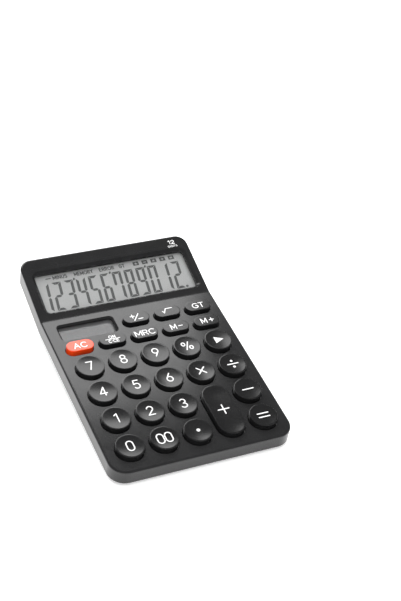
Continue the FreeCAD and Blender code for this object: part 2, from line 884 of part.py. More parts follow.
def make_round_key(label):
    """Round dished cap with a retaining lip and a central stem."""
    body = new_body(label)
    profile = new_sketch(body, "XZ_Plane")
    rim = dims.key_radius - dims.key_edge
    dish_radius = (rim * rim + dims.dish_depth * dims.dish_depth) / (2 * dims.dish_depth)
    dish_low = dims.key_rise - dims.dish_depth
    lip_top = -dims.panel_thick - dims.lip_clear
    lip_low = lip_top - dims.lip_thick
    inside = dims.key_radius - dims.key_skin
    ceiling = dish_low - dims.key_skin
    corners = (
        (0, -dims.stem_drop),
        (dims.stem_radius, -dims.stem_drop),
        (dims.stem_radius, ceiling),
        (inside, ceiling),
        (inside, lip_low),
        (dims.key_radius + dims.lip_reach, lip_low),
        (dims.key_radius + dims.lip_reach, lip_top),
        (dims.key_radius, lip_top),
        (dims.key_radius, dims.key_rise - dims.key_edge),
        (rim, dims.key_rise),
        (0, dish_low),
    )
    draw_loop(profile, corners, {9: (0, dish_low + dish_radius, True)})
    revolve(body, profile)
    return body


def make_long_key(label, kind):
    """Tall or oblong cap with a retaining lip and its stems; the tall one is dished."""
    body = new_body(label)
    lip_top = -dims.panel_thick - dims.lip_clear

    cap = new_sketch(body, "XY_Plane", lip_top)
    draw_key_outline(cap, kind, 0, 0)
    pad(body, cap, dims.key_rise - lip_top)
    dress_edges(body, "Chamfer", is_cap_rim, dims.key_edge)
    if kind == "tall":
        dish_long_key(body)

    lip = new_sketch(body, "XY_Plane", lip_top)
    draw_key_outline(lip, kind, 0, 0, dims.lip_reach)
    pad(body, lip, dims.lip_thick, reverse=True)

    hollow = new_sketch(body, "XY_Plane", lip_top - dims.lip_thick)
    draw_key_outline(hollow, kind, 0, 0, -dims.key_skin)
    ceiling = dims.key_rise - dims.dish_depth - dims.key_skin
    pocket(body, hollow, ceiling - lip_top + dims.lip_thick, reverse=True)

    stems = new_sketch(body, "XY_Plane", -dims.stem_drop)
    for place, radius in stem_places(kind):
        draw_circle(stems, 0, place, radius)
    pad(body, stems, dims.stem_drop + ceiling + dims.key_skin / 2)
    return body


def stem_places(kind):
    """Return each stem's place along Y and its radius."""
    if kind == "tall":
        return [(side * dims.row_pitch / 2, dims.stem_radius) for side in (-1, 1)]
    return [(as_size(0), dims.stem_radius if kind == "round" else dims.bar_stem_radius)]


def dish_long_key(body):
    """Hollow the tall cap's top with two ball cuts joined by a round trough."""
    rim = dims.key_radius - dims.key_edge - dims.rim_land
    radius = (rim * rim + dims.dish_depth * dims.dish_depth) / (2 * dims.dish_depth)
    height = dims.key_rise - dims.dish_depth + radius
    half = dims.row_pitch / 2
    profile = new_sketch(body, "XZ_Plane", -half)
    draw_circle(profile, 0, height, radius)
    pocket(body, profile, dims.row_pitch)
    for side in (-1, 1):
        ball = body.newObject("PartDesign::SubtractiveSphere", body.Label + "_ball")
        ball.Radius = radius.number
        ball.setExpression("Radius", radius.text)
        ball.Placement = Placement(Vector(0, side * half.number, height.number), Rotation())
        doc.recompute()


def is_cap_rim(edge):
    """Tell whether an edge is on the rim of a long cap's top."""
    spots = [vertex.Point for vertex in edge.Vertexes] + [middle_of(edge)]
    return all(is_near(spot.z, dims.key_rise.number) for spot in spots)


# Key mat, board and what sits on it


def make_key_mat():
    """Silicone sheet with a raised dome under each stem and holes for the bosses."""
    body = new_body("key_mat")
    sheet = new_sketch(body, "XY_Plane", -BOARD_TOP)
    corner = dims.rear_corner
    half = dims.mat_half_width
    draw_rectangle(sheet, -half, half, -dims.mat_front, dims.mat_rear, corner, dims.edge_round)
    for x, y in board_screw_places():
        if y.number < dims.bar_row_low.number:
            draw_circle(sheet, x, y, dims.boss_radius + dims.mat_hole_gap)
    pad(body, sheet, dims.mat_thick)

    domes = new_sketch(body, "XY_Plane", -dims.mat_top)
    for _, kind, x, y in key_places():
        for place, _ in stem_places(kind):
            draw_circle(domes, x, y + place, dims.bar_dome_radius if kind == "bar" else dims.dome_radius)
    crown = pad(body, domes, dims.dome_height)
    crown.TaperAngle = -dims.dome_slope.number
    crown.setExpression("TaperAngle", (-dims.dome_slope).text)
    doc.recompute()


def make_main_board():
    """Circuit board with clearance holes for its screws."""
    body = new_body("main_board")
    board = new_sketch(body, "XY_Plane", -BOARD_BOTTOM)
    half = dims.board_half_width
    corner = dims.rear_corner
    draw_rectangle(board, -half, half, -dims.board_front, dims.board_rear, corner, dims.edge_round)
    for x, y in board_screw_places():
        draw_circle(board, x, y, dims.screw_radius + dims.board_hole_gap)
    pad(body, board, dims.board_thick)


def make_chip_cap():
    """Low dome of epoxy over the chip, on the board's underside."""
    body = new_body("chip_cap")
    radius, height = dims.chip_radius, dims.chip_height
    profile = new_sketch(body, "XZ_Plane")
    sphere = (radius * radius + height * height) / (2 * height)
    corners = ((0, -BOARD_BOTTOM - height), (radius, -BOARD_BOTTOM), (0, -BOARD_BOTTOM))
    draw_loop(profile, corners, {0: (0, -BOARD_BOTTOM - height + sphere, False)})
    revolve(body, profile)


def make_solar_pieces():
    """Clear cover and cell under the solar opening, with the cell's two short leads."""
    x, y = dims.solar_middle_x, dims.solar_middle_y
    window_low = dims.panel_thick + dims.solar_window_thick
    cell_low = window_low + dims.solar_cell_gap + dims.solar_cell_thick
    layers = (
        ("solar_window", window_low, dims.solar_window_thick, dims.solar_window_lap),
        ("solar_cell", cell_low, dims.solar_cell_thick, dims.solar_cell_lap),
    )
    for label, depth, thick, grow in layers:
        body = new_body(label)
        plate = new_sketch(body, "XY_Plane", -depth)
        x_reach, y_reach = dims.solar_width / 2 + grow, dims.solar_depth / 2 + grow
        draw_box(plate, x - x_reach, x + x_reach, y - y_reach, y + y_reach)
        pad(body, plate, thick)
    body = new_body("solar_leads")
    leads = new_sketch(body, "XY_Plane", -BOARD_TOP)
    for side in (-1, 1):
        place = x + side * dims.solar_lead_spread
        draw_circle(leads, place, dims.mat_rear + dims.solar_lead_margin, dims.lead_radius)
    pad(body, leads, BOARD_TOP - cell_low)


def make_display_pieces():
    """Clear cover, liquid-crystal panel and holder, drawn in the display's plane."""
    half = dims.display_width / 2
    glass_half = half - dims.glass_inset
    high = dims.display_high - dims.display_end
    glass_low = dims.display_low + dims.glass_margin
    ledge = glass_low + dims.glass_ledge
    window_low = dims.display_thick + dims.window_thick
    glass_middle = window_low + dims.glass_gap + dims.glass_thick

    body = new_body("display_window")
    plate = new_sketch(body, "XY_Plane", -window_low)
    window_start = dims.display_low + dims.window_margin
    draw_rectangle(plate, -half, half, window_start, high, dims.edge_round, dims.edge_round)
    pad(body, plate, dims.window_thick)

    body = new_body("lcd_panel")
    front_glass = new_sketch(body, "XY_Plane", -glass_middle)
    draw_box(front_glass, -glass_half, glass_half, glass_low, high)
    pad(body, front_glass, dims.glass_thick)
    rear_glass = new_sketch(body, "XY_Plane", -glass_middle)
    draw_box(rear_glass, -glass_half, glass_half, ledge, high)
    pad(body, rear_glass, dims.glass_thick, reverse=True)

    body = new_body("lcd_holder")
    frame_top = glass_middle + dims.glass_thick
    frame = new_sketch(body, "XY_Plane", -frame_top - dims.holder_thick)
    frame_end = high - dims.holder_inset
    draw_box(frame, -glass_half, glass_half, ledge, frame_end)
    reach = dims.holder_window_half
    for side in (-1, 1):
        middle = side * half / 2
        draw_box(frame, middle - reach, middle + reach, ledge + dims.holder_rail, frame_end - dims.holder_rail)
    pad(body, frame, dims.holder_thick)


def make_lcd_ribbon():
    """Flat ribbon from the front edge of the panel's contact ledge down to the board."""
    body = new_body("lcd_ribbon")
    thick = dims.ribbon_thick
    tilt = dims.display_tilt
    depth = dims.display_thick + dims.window_thick + dims.glass_gap + dims.glass_thick + dims.ribbon_gap
    place = dims.display_low + dims.glass_margin + dims.ribbon_margin
    top_y = dims.crease_reach + place * cosine(tilt) + depth * sine(tilt)
    top_z = place * sine(tilt) - depth * cosine(tilt)
    tail_y = top_y + dims.ribbon_tail * cosine(tilt)
    tail_z = top_z + dims.ribbon_tail * sine(tilt)
    foot_y = dims.board_rear - dims.ribbon_foot_inset
    toe_y = foot_y - dims.ribbon_foot
    profile = new_sketch(body, "YZ_Plane", dims.solar_middle_x)
    corners = (
        (toe_y, -BOARD_TOP),
        (foot_y, -BOARD_TOP),
        (top_y, top_z - thick),
        (tail_y, tail_z - thick),
        (tail_y, tail_z),
        (top_y, top_z),
        (foot_y, thick - BOARD_TOP),
        (toe_y, thick - BOARD_TOP),
    )
    draw_loop(profile, corners)
    pad(body, profile, dims.ribbon_width, symmetric=True)


# Battery pieces, drawn on the tub's floor


def make_battery_pieces():
    """Button cell, its two contacts and its two leads."""
    body = new_body("button_cell")
    top = dims.cell_lift + dims.cell_height
    profile = new_sketch(body, "XZ_Plane")
    cap = dims.cell_radius - dims.cell_shoulder
    corners = (
        (0, dims.cell_lift),
        (dims.cell_radius, dims.cell_lift),
        (dims.cell_radius, top - dims.cell_crimp),
        (cap, top - dims.cell_step),
        (cap, top),
        (0, top),
    )
    draw_loop(profile, corners)
    revolve(body, profile)

    ceiling = dims.box_height + dims.tub_skin / 2 - dims.box_skin
    thick = dims.contact_thick
    bow = ceiling - top - thick
    tip_low = ceiling - bow - thick + dims.contact_clear
    offset = dims.contact_spread
    for label, side in (("battery_contact_negative", -1), ("battery_contact_positive", 1)):
        body = new_body(label)
        leaf = new_sketch(body, "YZ_Plane", side * offset)
        corners = (
            (-dims.contact_root, ceiling - thick),
            (dims.contact_bend, ceiling - thick),
            (dims.contact_tip, tip_low),
            (dims.contact_tip, tip_low + thick),
            (dims.contact_bend, ceiling),
            (-dims.contact_root, ceiling),
        )
        draw_loop(leaf, corners)
        pad(body, leaf, dims.contact_width, symmetric=True)

    for label, side in (("battery_lead_negative", -1), ("battery_lead_positive", 1)):
        make_lead(label, side * offset, ceiling)


def make_lead(label, x, ceiling):
    """Insulated lead that rises from a contact and runs forward to the board's rear edge."""
    body = new_body(label)
    bend = dims.lead_bend.number
    tilt = dims.panel_tilt
    edge_y = dims.board_rear + dims.floor_start
    edge_z = dims.floor_drop - BOARD_TOP - dims.board_thick / 2
    high = edge_y * sine(tilt) + edge_z * cosine(tilt)
    forward = (edge_y * cosine(tilt) - edge_z * sine(tilt) - dims.cell_place + dims.lead_gap).number
    path = new_sketch(body, "YZ_Plane", x)
    root, knee = Vector(0, ceiling.number, 0), Vector(0, high.number - bend, 0)
    straight = path.addGeometry(Part.LineSegment(root, knee))
    circle = Part.Circle(Vector(-bend, high.number - bend, 0), UPWARD, bend)
    turn = path.addGeometry(Part.ArcOfCircle(circle, 0, math.pi / 2))
    run = path.addGeometry(Part.LineSegment(Vector(-bend, high.number, 0), Vector(forward, high.number, 0)))
    path.addConstraint(Sketcher.Constraint("Tangent", straight, 2, turn, 1))
    path.addConstraint(Sketcher.Constraint("Tangent", turn, 2, run, 1))
    section = new_sketch(body, "XY_Plane", ceiling)
    draw_circle(section, x, 0, dims.lead_radius)
    sweep = body.newObject("PartDesign::AdditivePipe", label + "_pipe")
    sweep.Profile = section
    sweep.Spine = (path, [f"Edge{number}" for number in (1, 2, 3)])
    doc.recompute()


def make_everything():
    """Build each sub-part in its own drawing frame and return the frames by label."""
    make_top_case()
    make_bottom_case()
    front_heads = (dims.screw_seat - dims.front_band, dims.front_screw_x, dims.front_screw_y)
    rear_heads = (band_edge(dims.rear_screw_y) + dims.screw_seat, dims.rear_screw_x, dims.rear_screw_y)
    case_heads = [(seat, [(-x, y), (x, y)]) for seat, x, y in (front_heads, rear_heads)]
    make_screws("case_screws", case_heads, dims.case_shank)
    make_screws("board_screws", [(-BOARD_BOTTOM, board_screw_places())], dims.board_shank)
    make_key_mat()
    make_main_board()
    make_chip_cap()
    make_solar_pieces()
    make_lcd_ribbon()
    on_panel = {body.Label: Placement() for body in parts}

    make_display_pieces()
    display = Placement(Vector(0, dims.crease_reach.number, 0), Rotation(ACROSS, dims.display_tilt.number))
    on_display = {body.Label: display for body in parts if body.Label not in on_panel}

    make_battery_cover()
    make_feet()
    floor_start = Vector(0, -dims.floor_start.number, -dims.floor_drop.number)
    floor = Placement(floor_start, Rotation(ACROSS, -dims.panel_tilt.number))
    on_floor = {label: floor for label in ("battery_cover", "rubber_feet")}
    made = len(parts)
    make_battery_pieces()
    at_cell = floor * Placement(Vector(0, dims.cell_place.number, 0), Rotation())
    on_floor.update({body.Label: at_cell for body in parts[made:]})

    on_keys = {}
    for label, kind, x, y in key_places():
        if kind == "round":
            make_round_key(label)
        else:
            make_long_key(label, kind)
        on_keys[label] = Placement(Vector(x.number, y.number, 0), Rotation())
    return {**on_panel, **on_display, **on_floor, **on_keys}


def stand_up(frames):
    """Tilt the assembly onto its feet, with the middle of its footprint at the origin."""
    tilt = Rotation(ACROSS, dims.panel_tilt.number)
    case = next(body for body in parts if body.Label == "top_case")
    case.Placement = Placement(Vector(), tilt)
    box = case.Shape.optimalBoundingBox(False, False)
    floor_point = tilt.multVec(Vector(0, -dims.floor_start.number, -dims.floor_drop.number))
    rise = dims.foot_rise.number - floor_point.z
    stand = Placement(Vector(0, -(box.YMin + box.YMax) / 2, rise), tilt)
    for body in parts:
        body.Placement = stand * frames[body.Label]
    doc.recompute()


def check_everything():
    """Stop if any object failed or any sub-part has a bad shape."""
    for item in doc.Objects:
        if "Invalid" in item.State or "Error" in item.State:
            raise RuntimeError(f"{item.Label} failed: {item.State}")
    for body in parts:
        if body.Shape.isNull() or not body.Shape.isValid() or not body.Shape.Solids:
            raise RuntimeError(f"{body.Label} has a bad shape")


def export_everything():
    """Write each sub-part's solid under its own name."""
    os.makedirs("parts", exist_ok=True)
    for body in parts:
        body.Shape.exportStep(f"parts/{body.Label}.step")


write_sheet()
stand_up(make_everything())
check_everything()
export_everything()
print(f"{len(parts)} sub-parts written")
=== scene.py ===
"""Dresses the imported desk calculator: key caps, lettering, display and finishes.

Every length is in metres. Keys are drawn in the key panel's own axes, with X across the
case, Y towards the display and Z out of the panel, and then set down where the packed
key nodes are. The display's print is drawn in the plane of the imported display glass.
"""

import json
import logging
import math
from collections.abc import Callable, Iterable
from dataclasses import dataclass, field
from enum import Enum

import bmesh
import bpy
from bpy.types import Material, NodeSocket, Object, ShaderNode
from mathutils import Matrix, Vector
from mathutils.geometry import delaunay_2d_cdt


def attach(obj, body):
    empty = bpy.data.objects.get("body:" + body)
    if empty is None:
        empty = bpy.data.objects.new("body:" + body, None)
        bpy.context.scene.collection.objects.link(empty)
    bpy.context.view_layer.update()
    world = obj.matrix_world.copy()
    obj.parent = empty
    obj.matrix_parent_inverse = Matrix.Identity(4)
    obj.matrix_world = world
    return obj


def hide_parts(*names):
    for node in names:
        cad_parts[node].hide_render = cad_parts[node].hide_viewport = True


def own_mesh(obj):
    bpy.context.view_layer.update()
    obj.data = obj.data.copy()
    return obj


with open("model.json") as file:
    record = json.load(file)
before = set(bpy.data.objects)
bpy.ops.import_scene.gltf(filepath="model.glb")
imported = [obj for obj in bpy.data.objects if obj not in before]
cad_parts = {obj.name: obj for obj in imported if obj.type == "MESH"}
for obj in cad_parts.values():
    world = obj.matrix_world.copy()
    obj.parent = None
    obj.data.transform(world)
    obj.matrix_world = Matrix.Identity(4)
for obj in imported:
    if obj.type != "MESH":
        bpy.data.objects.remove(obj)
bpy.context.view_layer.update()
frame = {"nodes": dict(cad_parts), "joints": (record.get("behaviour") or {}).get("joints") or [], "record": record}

LOG = logging.getLogger("calculator")
MM = 0.001
HOUSING = "housing"
PRESS = "_press"
OUTWARDS = Vector((0.0, 0.0, 1.0))
# Corners closer than this are one corner
SAME_SPOT = 0.0001 * MM
# Edges that turn by more than this stay sharp
SHARP_TURN = math.radians(35.0)
# Octaves of finer noise in specks, in an even grain, in clouds and in smears
SPECKS, EVEN, CLOUDS, SMEARS = 2.0, 3.0, 4.0, 5.0

Colour = tuple[float, float, float]
Pair = tuple[float, float]
Outline = list[Vector]
Path = list[Vector]


class NodeBench:
    """A new material with its shader, and short ways to add and join nodes."""

    # A Mix node's colour sockets, by number, since its number sockets have the same names
    MIX_FIRST, MIX_SECOND, MIX_RESULT = 6, 7, 2
    # The band that most of a noise's values lie in
    NOISE_BAND = (0.3, 0.7)
    # How far a rounded and a plain normal agree, on a flat face and at an edge
    EDGE_BAND = (0.99, 0.80)
    EDGE_SAMPLES = 4

    def __init__(self, name: str) -> None:
        """Makes the material, with one Principled shader.

        Args:
            name: The material's name.
        """
        self.material = bpy.data.materials.new(name)
        self.material.use_nodes = True
        self.tree = self.material.node_tree
        self.shader = self.tree.nodes["Principled BSDF"]
        self.place = self.add("ShaderNodeTexCoord").outputs["Object"]

    def add(self, kind: str, **settings: object) -> ShaderNode:
        """Adds one node.

        Args:
            kind: Blender's name of the node's type.
            settings: Attributes to set on the node.

        Returns:
            The new node.
        """
        node = self.tree.nodes.new(kind)
        for name, value in settings.items():
            setattr(node, name, value)
        return node

    def fill(self, socket: NodeSocket, value: NodeSocket | Colour | float) -> None:
        """Gives an input its value.

        Args:
            socket: The input.
            value: An output to link to it, or a plain colour or number to set on it.
        """
        if isinstance(value, NodeSocket):
            self.tree.links.new(value, socket)
        else:
            socket.default_value = (*value, 1.0) if isinstance(value, tuple) else value

    def feed(self, name: str, value: NodeSocket) -> None:
        """Links an output to one of the shader's own sockets."""
        self.fill(self.shader.inputs[name], value)

    def set(self, **values: object) -> None:
        """Sets the shader's own sockets, with underscores for spaces in their names."""
        for name, value in values.items():
            self.shader.inputs[name.replace("_", " ")].default_value = value

    def noise(
        self, grain: float, detail: float = EVEN, place: NodeSocket | None = None
    ) -> NodeSocket:
        """Adds noise in the piece's own space.

        Args:
            grain: Size of one speck, in metres.
            detail: Octaves of finer noise.
            place: Where on the piece a spot lies, if that isn't plain.

        Returns:
            The noise's value, from 0 to 1.
        """
        node = self.add("ShaderNodeTexNoise")
        node.inputs["Scale"].default_value = 1.0 / grain
        node.inputs["Detail"].default_value = detail
        self.fill(node.inputs["Vector"], self.place if place is None else place)
        return node.outputs["Fac"]

    def stretch(self, value: NodeSocket, band: Pair, limits: Pair = (0.0, 1.0)) -> NodeSocket:
        """Stretches a value from one band to another.

        Args:
            value: The value.
            band: The band that it lies in.
            limits: What the band's two ends become.

        Returns:
            The stretched value.
        """
        node = self.add("ShaderNodeMapRange")
        for name, end in zip(("From Min", "From Max", "To Min", "To Max"), (*band, *limits)):
            node.inputs[name].default_value = end
        self.fill(node.inputs["Value"], value)
        return node.outputs["Result"]

    def spread(self, noise: NodeSocket, limits: Pair = (0.0, 1.0)) -> NodeSocket:
        """Stretches noise from its usual band to the given limits."""
        return self.stretch(noise, self.NOISE_BAND, limits)

    def blend(self, share: NodeSocket, first: NodeSocket | Colour, second: Colour) -> NodeSocket:
        """Mixes two colours by a value that changes over the surface.

        Args:
            share: 0 for the first colour, 1 for the second.
            first: Colour at 0.
            second: Colour at 1.

        Returns:
            The mixed colour.
        """
        node = self.add("ShaderNodeMix", data_type="RGBA")
        self.fill(node.inputs["Factor"], share)
        self.fill(node.inputs[self.MIX_FIRST], first)
        self.fill(node.inputs[self.MIX_SECOND], second)
        return node.outputs[self.MIX_RESULT]

    def work_out(self, step: str, first: NodeSocket, second: NodeSocket | float) -> NodeSocket:
        """Does one step of arithmetic.

        Args:
            step: Blender's name of the step.
            first: The value that it starts from.
            second: The value or number that it works with.

        Returns:
            The result.
        """
        node = self.add("ShaderNodeMath", operation=step)
        self.fill(node.inputs[0], first)
        self.fill(node.inputs[1], second)
        return node.outputs["Value"]

    def bump(self, height: NodeSocket, strength: float, depth: float) -> None:
        """Raises and sinks the surface's shading by a height.

        Args:
            height: The height, from 0 to 1.
            strength: Share of the effect, from 0 to 1.
            depth: What a height of 1 stands for, in metres.
        """
        node = self.add("ShaderNodeBump")
        node.inputs["Strength"].default_value = strength
        node.inputs["Distance"].default_value = depth
        self.fill(node.inputs["Height"], height)
        self.feed("Normal", node.outputs["Normal"])

    def edges(self, width: float) -> NodeSocket:
        """Finds the piece's edges.

        Args:
            width: How far from an edge the value still rises, in metres.

        Returns:
            0 on flat faces, rising to 1 at an edge.
        """
        rounded = self.add("ShaderNodeBevel", samples=self.EDGE_SAMPLES)
        rounded.inputs["Radius"].default_value = width
        plain = self.add("ShaderNodeNewGeometry")
        agree = self.add("ShaderNodeVectorMath", operation="DOT_PRODUCT")
        self.fill(agree.inputs[0], rounded.outputs["Normal"])
        self.fill(agree.inputs[1], plain.outputs["Normal"])
        return self.stretch(agree.outputs["Value"], self.EDGE_BAND)


def tinted(colour: Colour, share: float) -> Colour:
    """Gives a colour made darker or paler."""
    red, green, blue = (share * part for part in colour)
    return red, green, blue


@dataclass(frozen=True)
class Finish:
    """What every finish has: a name, and a way to make its material."""

    name: str

    def make(self) -> Material:
        """Builds the material."""
        raise NotImplementedError


@dataclass(frozen=True)
class Moulding(Finish):
    """A moulded plastic, rubber or resin: fine grain, slight drift of colour, and a patchy painted highlight that
    makes its edges paler.
    """

    colour: Colour
    # Paler colour of the painted edge highlight
    worn: Colour
    rough: Pair
    strength: float = 0.25
    gloss: float = 0.5
    dark: float = 0.86
    pale: float = 1.12
    drift: float = 9.0 * MM
    smear: float = 6.0 * MM
    # Size of the patches in the painted edge highlight
    rub: float = 2.5 * MM
    edge: float = 0.25 * MM
    grain: float = 0.25 * MM
    depth: float = 0.02 * MM

    def make(self) -> Material:
        """Builds the material.

        Returns:
            The finished material.
        """
        bench = NodeBench(self.name)
        drift = bench.spread(bench.noise(self.drift, CLOUDS))
        body = bench.blend(drift, tinted(self.colour, self.dark), tinted(self.colour, self.pale))
        # Painted highlight: edges turn, in patches, towards the paler highlight colour
        painted_highlight = bench.work_out("MULTIPLY", bench.edges(self.edge), bench.noise(self.rub))
        bench.feed("Base Color", bench.blend(painted_highlight, body, self.worn))
        bench.feed("Roughness", bench.spread(bench.noise(self.smear, SMEARS), self.rough))
        bench.bump(bench.noise(self.grain, SPECKS), self.strength, self.depth)
        bench.set(Specular_IOR_Level=self.gloss)
        return bench.material


@dataclass(frozen=True)
class PlatedMetal(Finish):
    """Plated steel with fine rolling lines and cloudy tarnish."""

    colour: Colour
    tarnish: Colour
    rough: Pair = (0.22, 0.38)
    cloud: float = 3.0 * MM
    line: float = 1.5 * MM
    line_squeeze: float = 14.0
    strength: float = 0.15
    depth: float = 0.01 * MM

    def make(self) -> Material:
        """Builds the material.

        Returns:
            The finished material.
        """
        bench = NodeBench(self.name)
        cloud = bench.spread(bench.noise(self.cloud, SMEARS))
        bench.feed("Base Color", bench.blend(cloud, self.colour, self.tarnish))
        rolled = bench.add("ShaderNodeMapping")
        rolled.inputs["Scale"].default_value = (1.0, self.line_squeeze, 1.0)
        bench.fill(rolled.inputs["Vector"], bench.place)
        scratch = bench.noise(self.line, SPECKS, rolled.outputs["Vector"])
        bench.feed("Roughness", bench.spread(scratch, self.rough))
        bench.bump(scratch, self.strength, self.depth)
        bench.set(Metallic=1.0)
        return bench.material


@dataclass(frozen=True)
class ClearSheet(Finish):
    """Clear acrylic with faint haze."""

    colour: Colour
    haze: float
    rough: Pair = (0.25, 0.4)
    pale: float = 1.05
    smear: float = 12.0 * MM
    refraction: float = 1.49

    def make(self) -> Material:
        """Builds the material.

        Returns:
            The finished material.
        """
        bench = NodeBench(self.name)
        smear = bench.noise(self.smear, CLOUDS)
        bench.feed("Base Color", bench.blend(smear, self.colour, tinted(self.colour, self.pale)))
        bench.feed("Roughness", bench.spread(smear, self.rough))
        bench.set(Alpha=self.haze, IOR=self.refraction)
        return bench.material


@dataclass(frozen=True)
class PrintedInk(Finish):
    """A thin coat of ink, with small pits and uneven cover."""

    colour: Colour
    thin: Colour
    rough: Pair = (0.35, 0.55)
    glow: float = 0.0
    cover: float = 0.5 * MM
    smear: float = 0.3 * MM
    pit: float = 0.12 * MM
    strength: float = 0.2
    depth: float = 0.01 * MM

    def make(self) -> Material:
        """Builds the material.

        Returns:
            The finished material.
        """
        bench = NodeBench(self.name)
        cover = bench.spread(bench.noise(self.cover, CLOUDS))
        bench.feed("Base Color", bench.blend(cover, self.thin, self.colour))
        bench.feed("Roughness", bench.spread(bench.noise(self.smear), self.rough))
        bench.bump(bench.noise(self.pit), self.strength, self.depth)
        bench.set(Emission_Color=(1.0, 1.0, 1.0, 1.0), Emission_Strength=self.glow)
        return bench.material


@dataclass(frozen=True)
class StripedFace(Finish):
    """A face of alternating strips, such as solar strips or copper tracks."""

    strip: Colour
    line: Colour
    pitch: float
    line_share: float
    rough: Pair
    dark: float = 0.85
    cloud: float = 7.0 * MM
    smear: float = 4.0 * MM
    strength: float = 0.2
    depth: float = 0.01 * MM

    def make(self) -> Material:
        """Builds the material.

        Returns:
            The finished material.
        """
        bench = NodeBench(self.name)
        split = bench.add("ShaderNodeSeparateXYZ")
        bench.fill(split.inputs["Vector"], bench.place)
        reach = bench.work_out("PINGPONG", split.outputs["X"], self.pitch / 2)
        on_line = bench.work_out("LESS_THAN", reach, self.pitch * self.line_share / 2)
        cloud = bench.spread(bench.noise(self.cloud, CLOUDS))
        strip = bench.blend(cloud, tinted(self.strip, self.dark), self.strip)
        bench.feed("Base Color", bench.blend(on_line, strip, self.line))
        bench.feed("Roughness", bench.spread(bench.noise(self.smear), self.rough))
        bench.bump(on_line, self.strength, self.depth)
        return bench.material


# The finishes that the imported record names as slots. A moulding's second colour is the paler colour of its
# painted edge highlight.
FINISHES: dict[str, Finish] = {
    finish.name: finish
    for finish in (
        Moulding(
            "case_plastic",
            (0.015, 0.015, 0.0155),
            (0.028, 0.028, 0.029),
            (0.12, 0.15),
            strength=0.02,
        ),
        Moulding(
            "key_black", (0.008, 0.008, 0.0083), (0.014, 0.014, 0.014), (0.12, 0.15), strength=0.02
        ),
        Moulding(
            "key_orange",
            (0.82, 0.055, 0.006),
            (0.9, 0.16, 0.05),
            (0.13, 0.17),
            strength=0.02,
            gloss=0.7,
        ),
        ClearSheet("clear_window", (0.80, 0.81, 0.81), 0.03),
        PrintedInk("lcd_glass", (0.295, 0.30, 0.297), (0.28, 0.285, 0.282), (0.3, 0.45)),
        Moulding("holder_plastic", (0.62, 0.62, 0.60), (0.7, 0.7, 0.68), (0.4, 0.5)),
        StripedFace(
            "ribbon_film", (0.42, 0.20, 0.05), (0.60, 0.36, 0.14), 1.0 * MM, 0.5, (0.25, 0.4)
        ),
        StripedFace(
            "solar_glass", (0.05, 0.05, 0.052), (0.056, 0.056, 0.058), 8.5 * MM, 0.05, (0.16, 0.24)
        ),
        StripedFace(
            "board_laminate", (0.02, 0.16, 0.055), (0.05, 0.24, 0.09), 1.9 * MM, 0.3, (0.3, 0.42)
        ),
        Moulding("chip_epoxy", (0.012, 0.012, 0.013), (0.03, 0.03, 0.03), (0.12, 0.25)),
        Moulding("mat_silicone", (0.52, 0.53, 0.52), (0.6, 0.61, 0.6), (0.5, 0.62)),
        PlatedMetal("screw_steel", (0.62, 0.62, 0.60), (0.48, 0.47, 0.44)),
        Moulding(
            "foot_rubber", (0.018, 0.018, 0.018), (0.05, 0.05, 0.05), (0.6, 0.75), strength=0.5
        ),
        PlatedMetal("cell_steel", (0.70, 0.69, 0.67), (0.58, 0.57, 0.54), (0.15, 0.28)),
        PlatedMetal("contact_metal", (0.72, 0.66, 0.52), (0.58, 0.52, 0.38)),
        Moulding("lead_black", (0.015, 0.015, 0.015), (0.04, 0.04, 0.04), (0.35, 0.45)),
        Moulding("lead_red", (0.45, 0.015, 0.012), (0.55, 0.05, 0.04), (0.35, 0.45)),
    )
}
LEGEND_INK = PrintedInk("legend_ink", (0.93, 0.93, 0.93), (0.84, 0.84, 0.84))
SEGMENT_INK = PrintedInk("segment_ink", (0.022, 0.024, 0.024), (0.035, 0.037, 0.037), (0.4, 0.5))
# Near-black ink of the border round the display field: painted shade where the display's recess edge is
SHADE_BORDER_INK = PrintedInk("painted_shade_border_ink", (0.006, 0.006, 0.006), (0.009, 0.009, 0.009), (0.3, 0.4))
TABLE_TOP = PrintedInk("table_top", (0.94, 0.94, 0.94), (0.92, 0.92, 0.92), (0.6, 0.7), glow=0.4)


class Paintbox:
    """Makes each finish once and hands out its material."""

    def __init__(self) -> None:
        """Starts with no material made."""
        self.made: dict[str, Material] = {}

    def take(self, finish: Finish) -> Material:
        """Gives a finish's material.

        Args:
            finish: The finish.

        Returns:
            Its material, made on first use.
        """
        if finish.name not in self.made:
            self.made[finish.name] = finish.make()
        return self.made[finish.name]


PAINTS = Paintbox()


def new_piece(
    name: str, bm: bmesh.types.BMesh, finish: Finish, body: str, mirrored: bool = True
) -> Object:
    """Turns a mesh into a piece that rides on a body.

    Args:
        name: The piece's name.
        bm: Its mesh, in the row's frame; it is freed.
        finish: The finish it wears.
        body: The body it moves with.
        mirrored: Whether glossy faces mirror it.

    Returns:
        The new object.
    """
    bmesh.ops.recalc_face_normals(bm, faces=bm.faces)
    mesh = bpy.data.meshes.new(name)
    bm.to_mesh(mesh)
    bm.free()
    mesh.shade_smooth()
    mesh.set_sharp_from_angle(angle=SHARP_TURN)
    mesh.materials.append(PAINTS.take(finish))
    piece = bpy.data.objects.new(name, mesh)
    piece.visible_glossy = mirrored
    bpy.context.scene.collection.objects.link(piece)
    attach(piece, body)
    LOG.info("piece %s on %s, %d faces", name, body, len(mesh.polygons))
    return piece


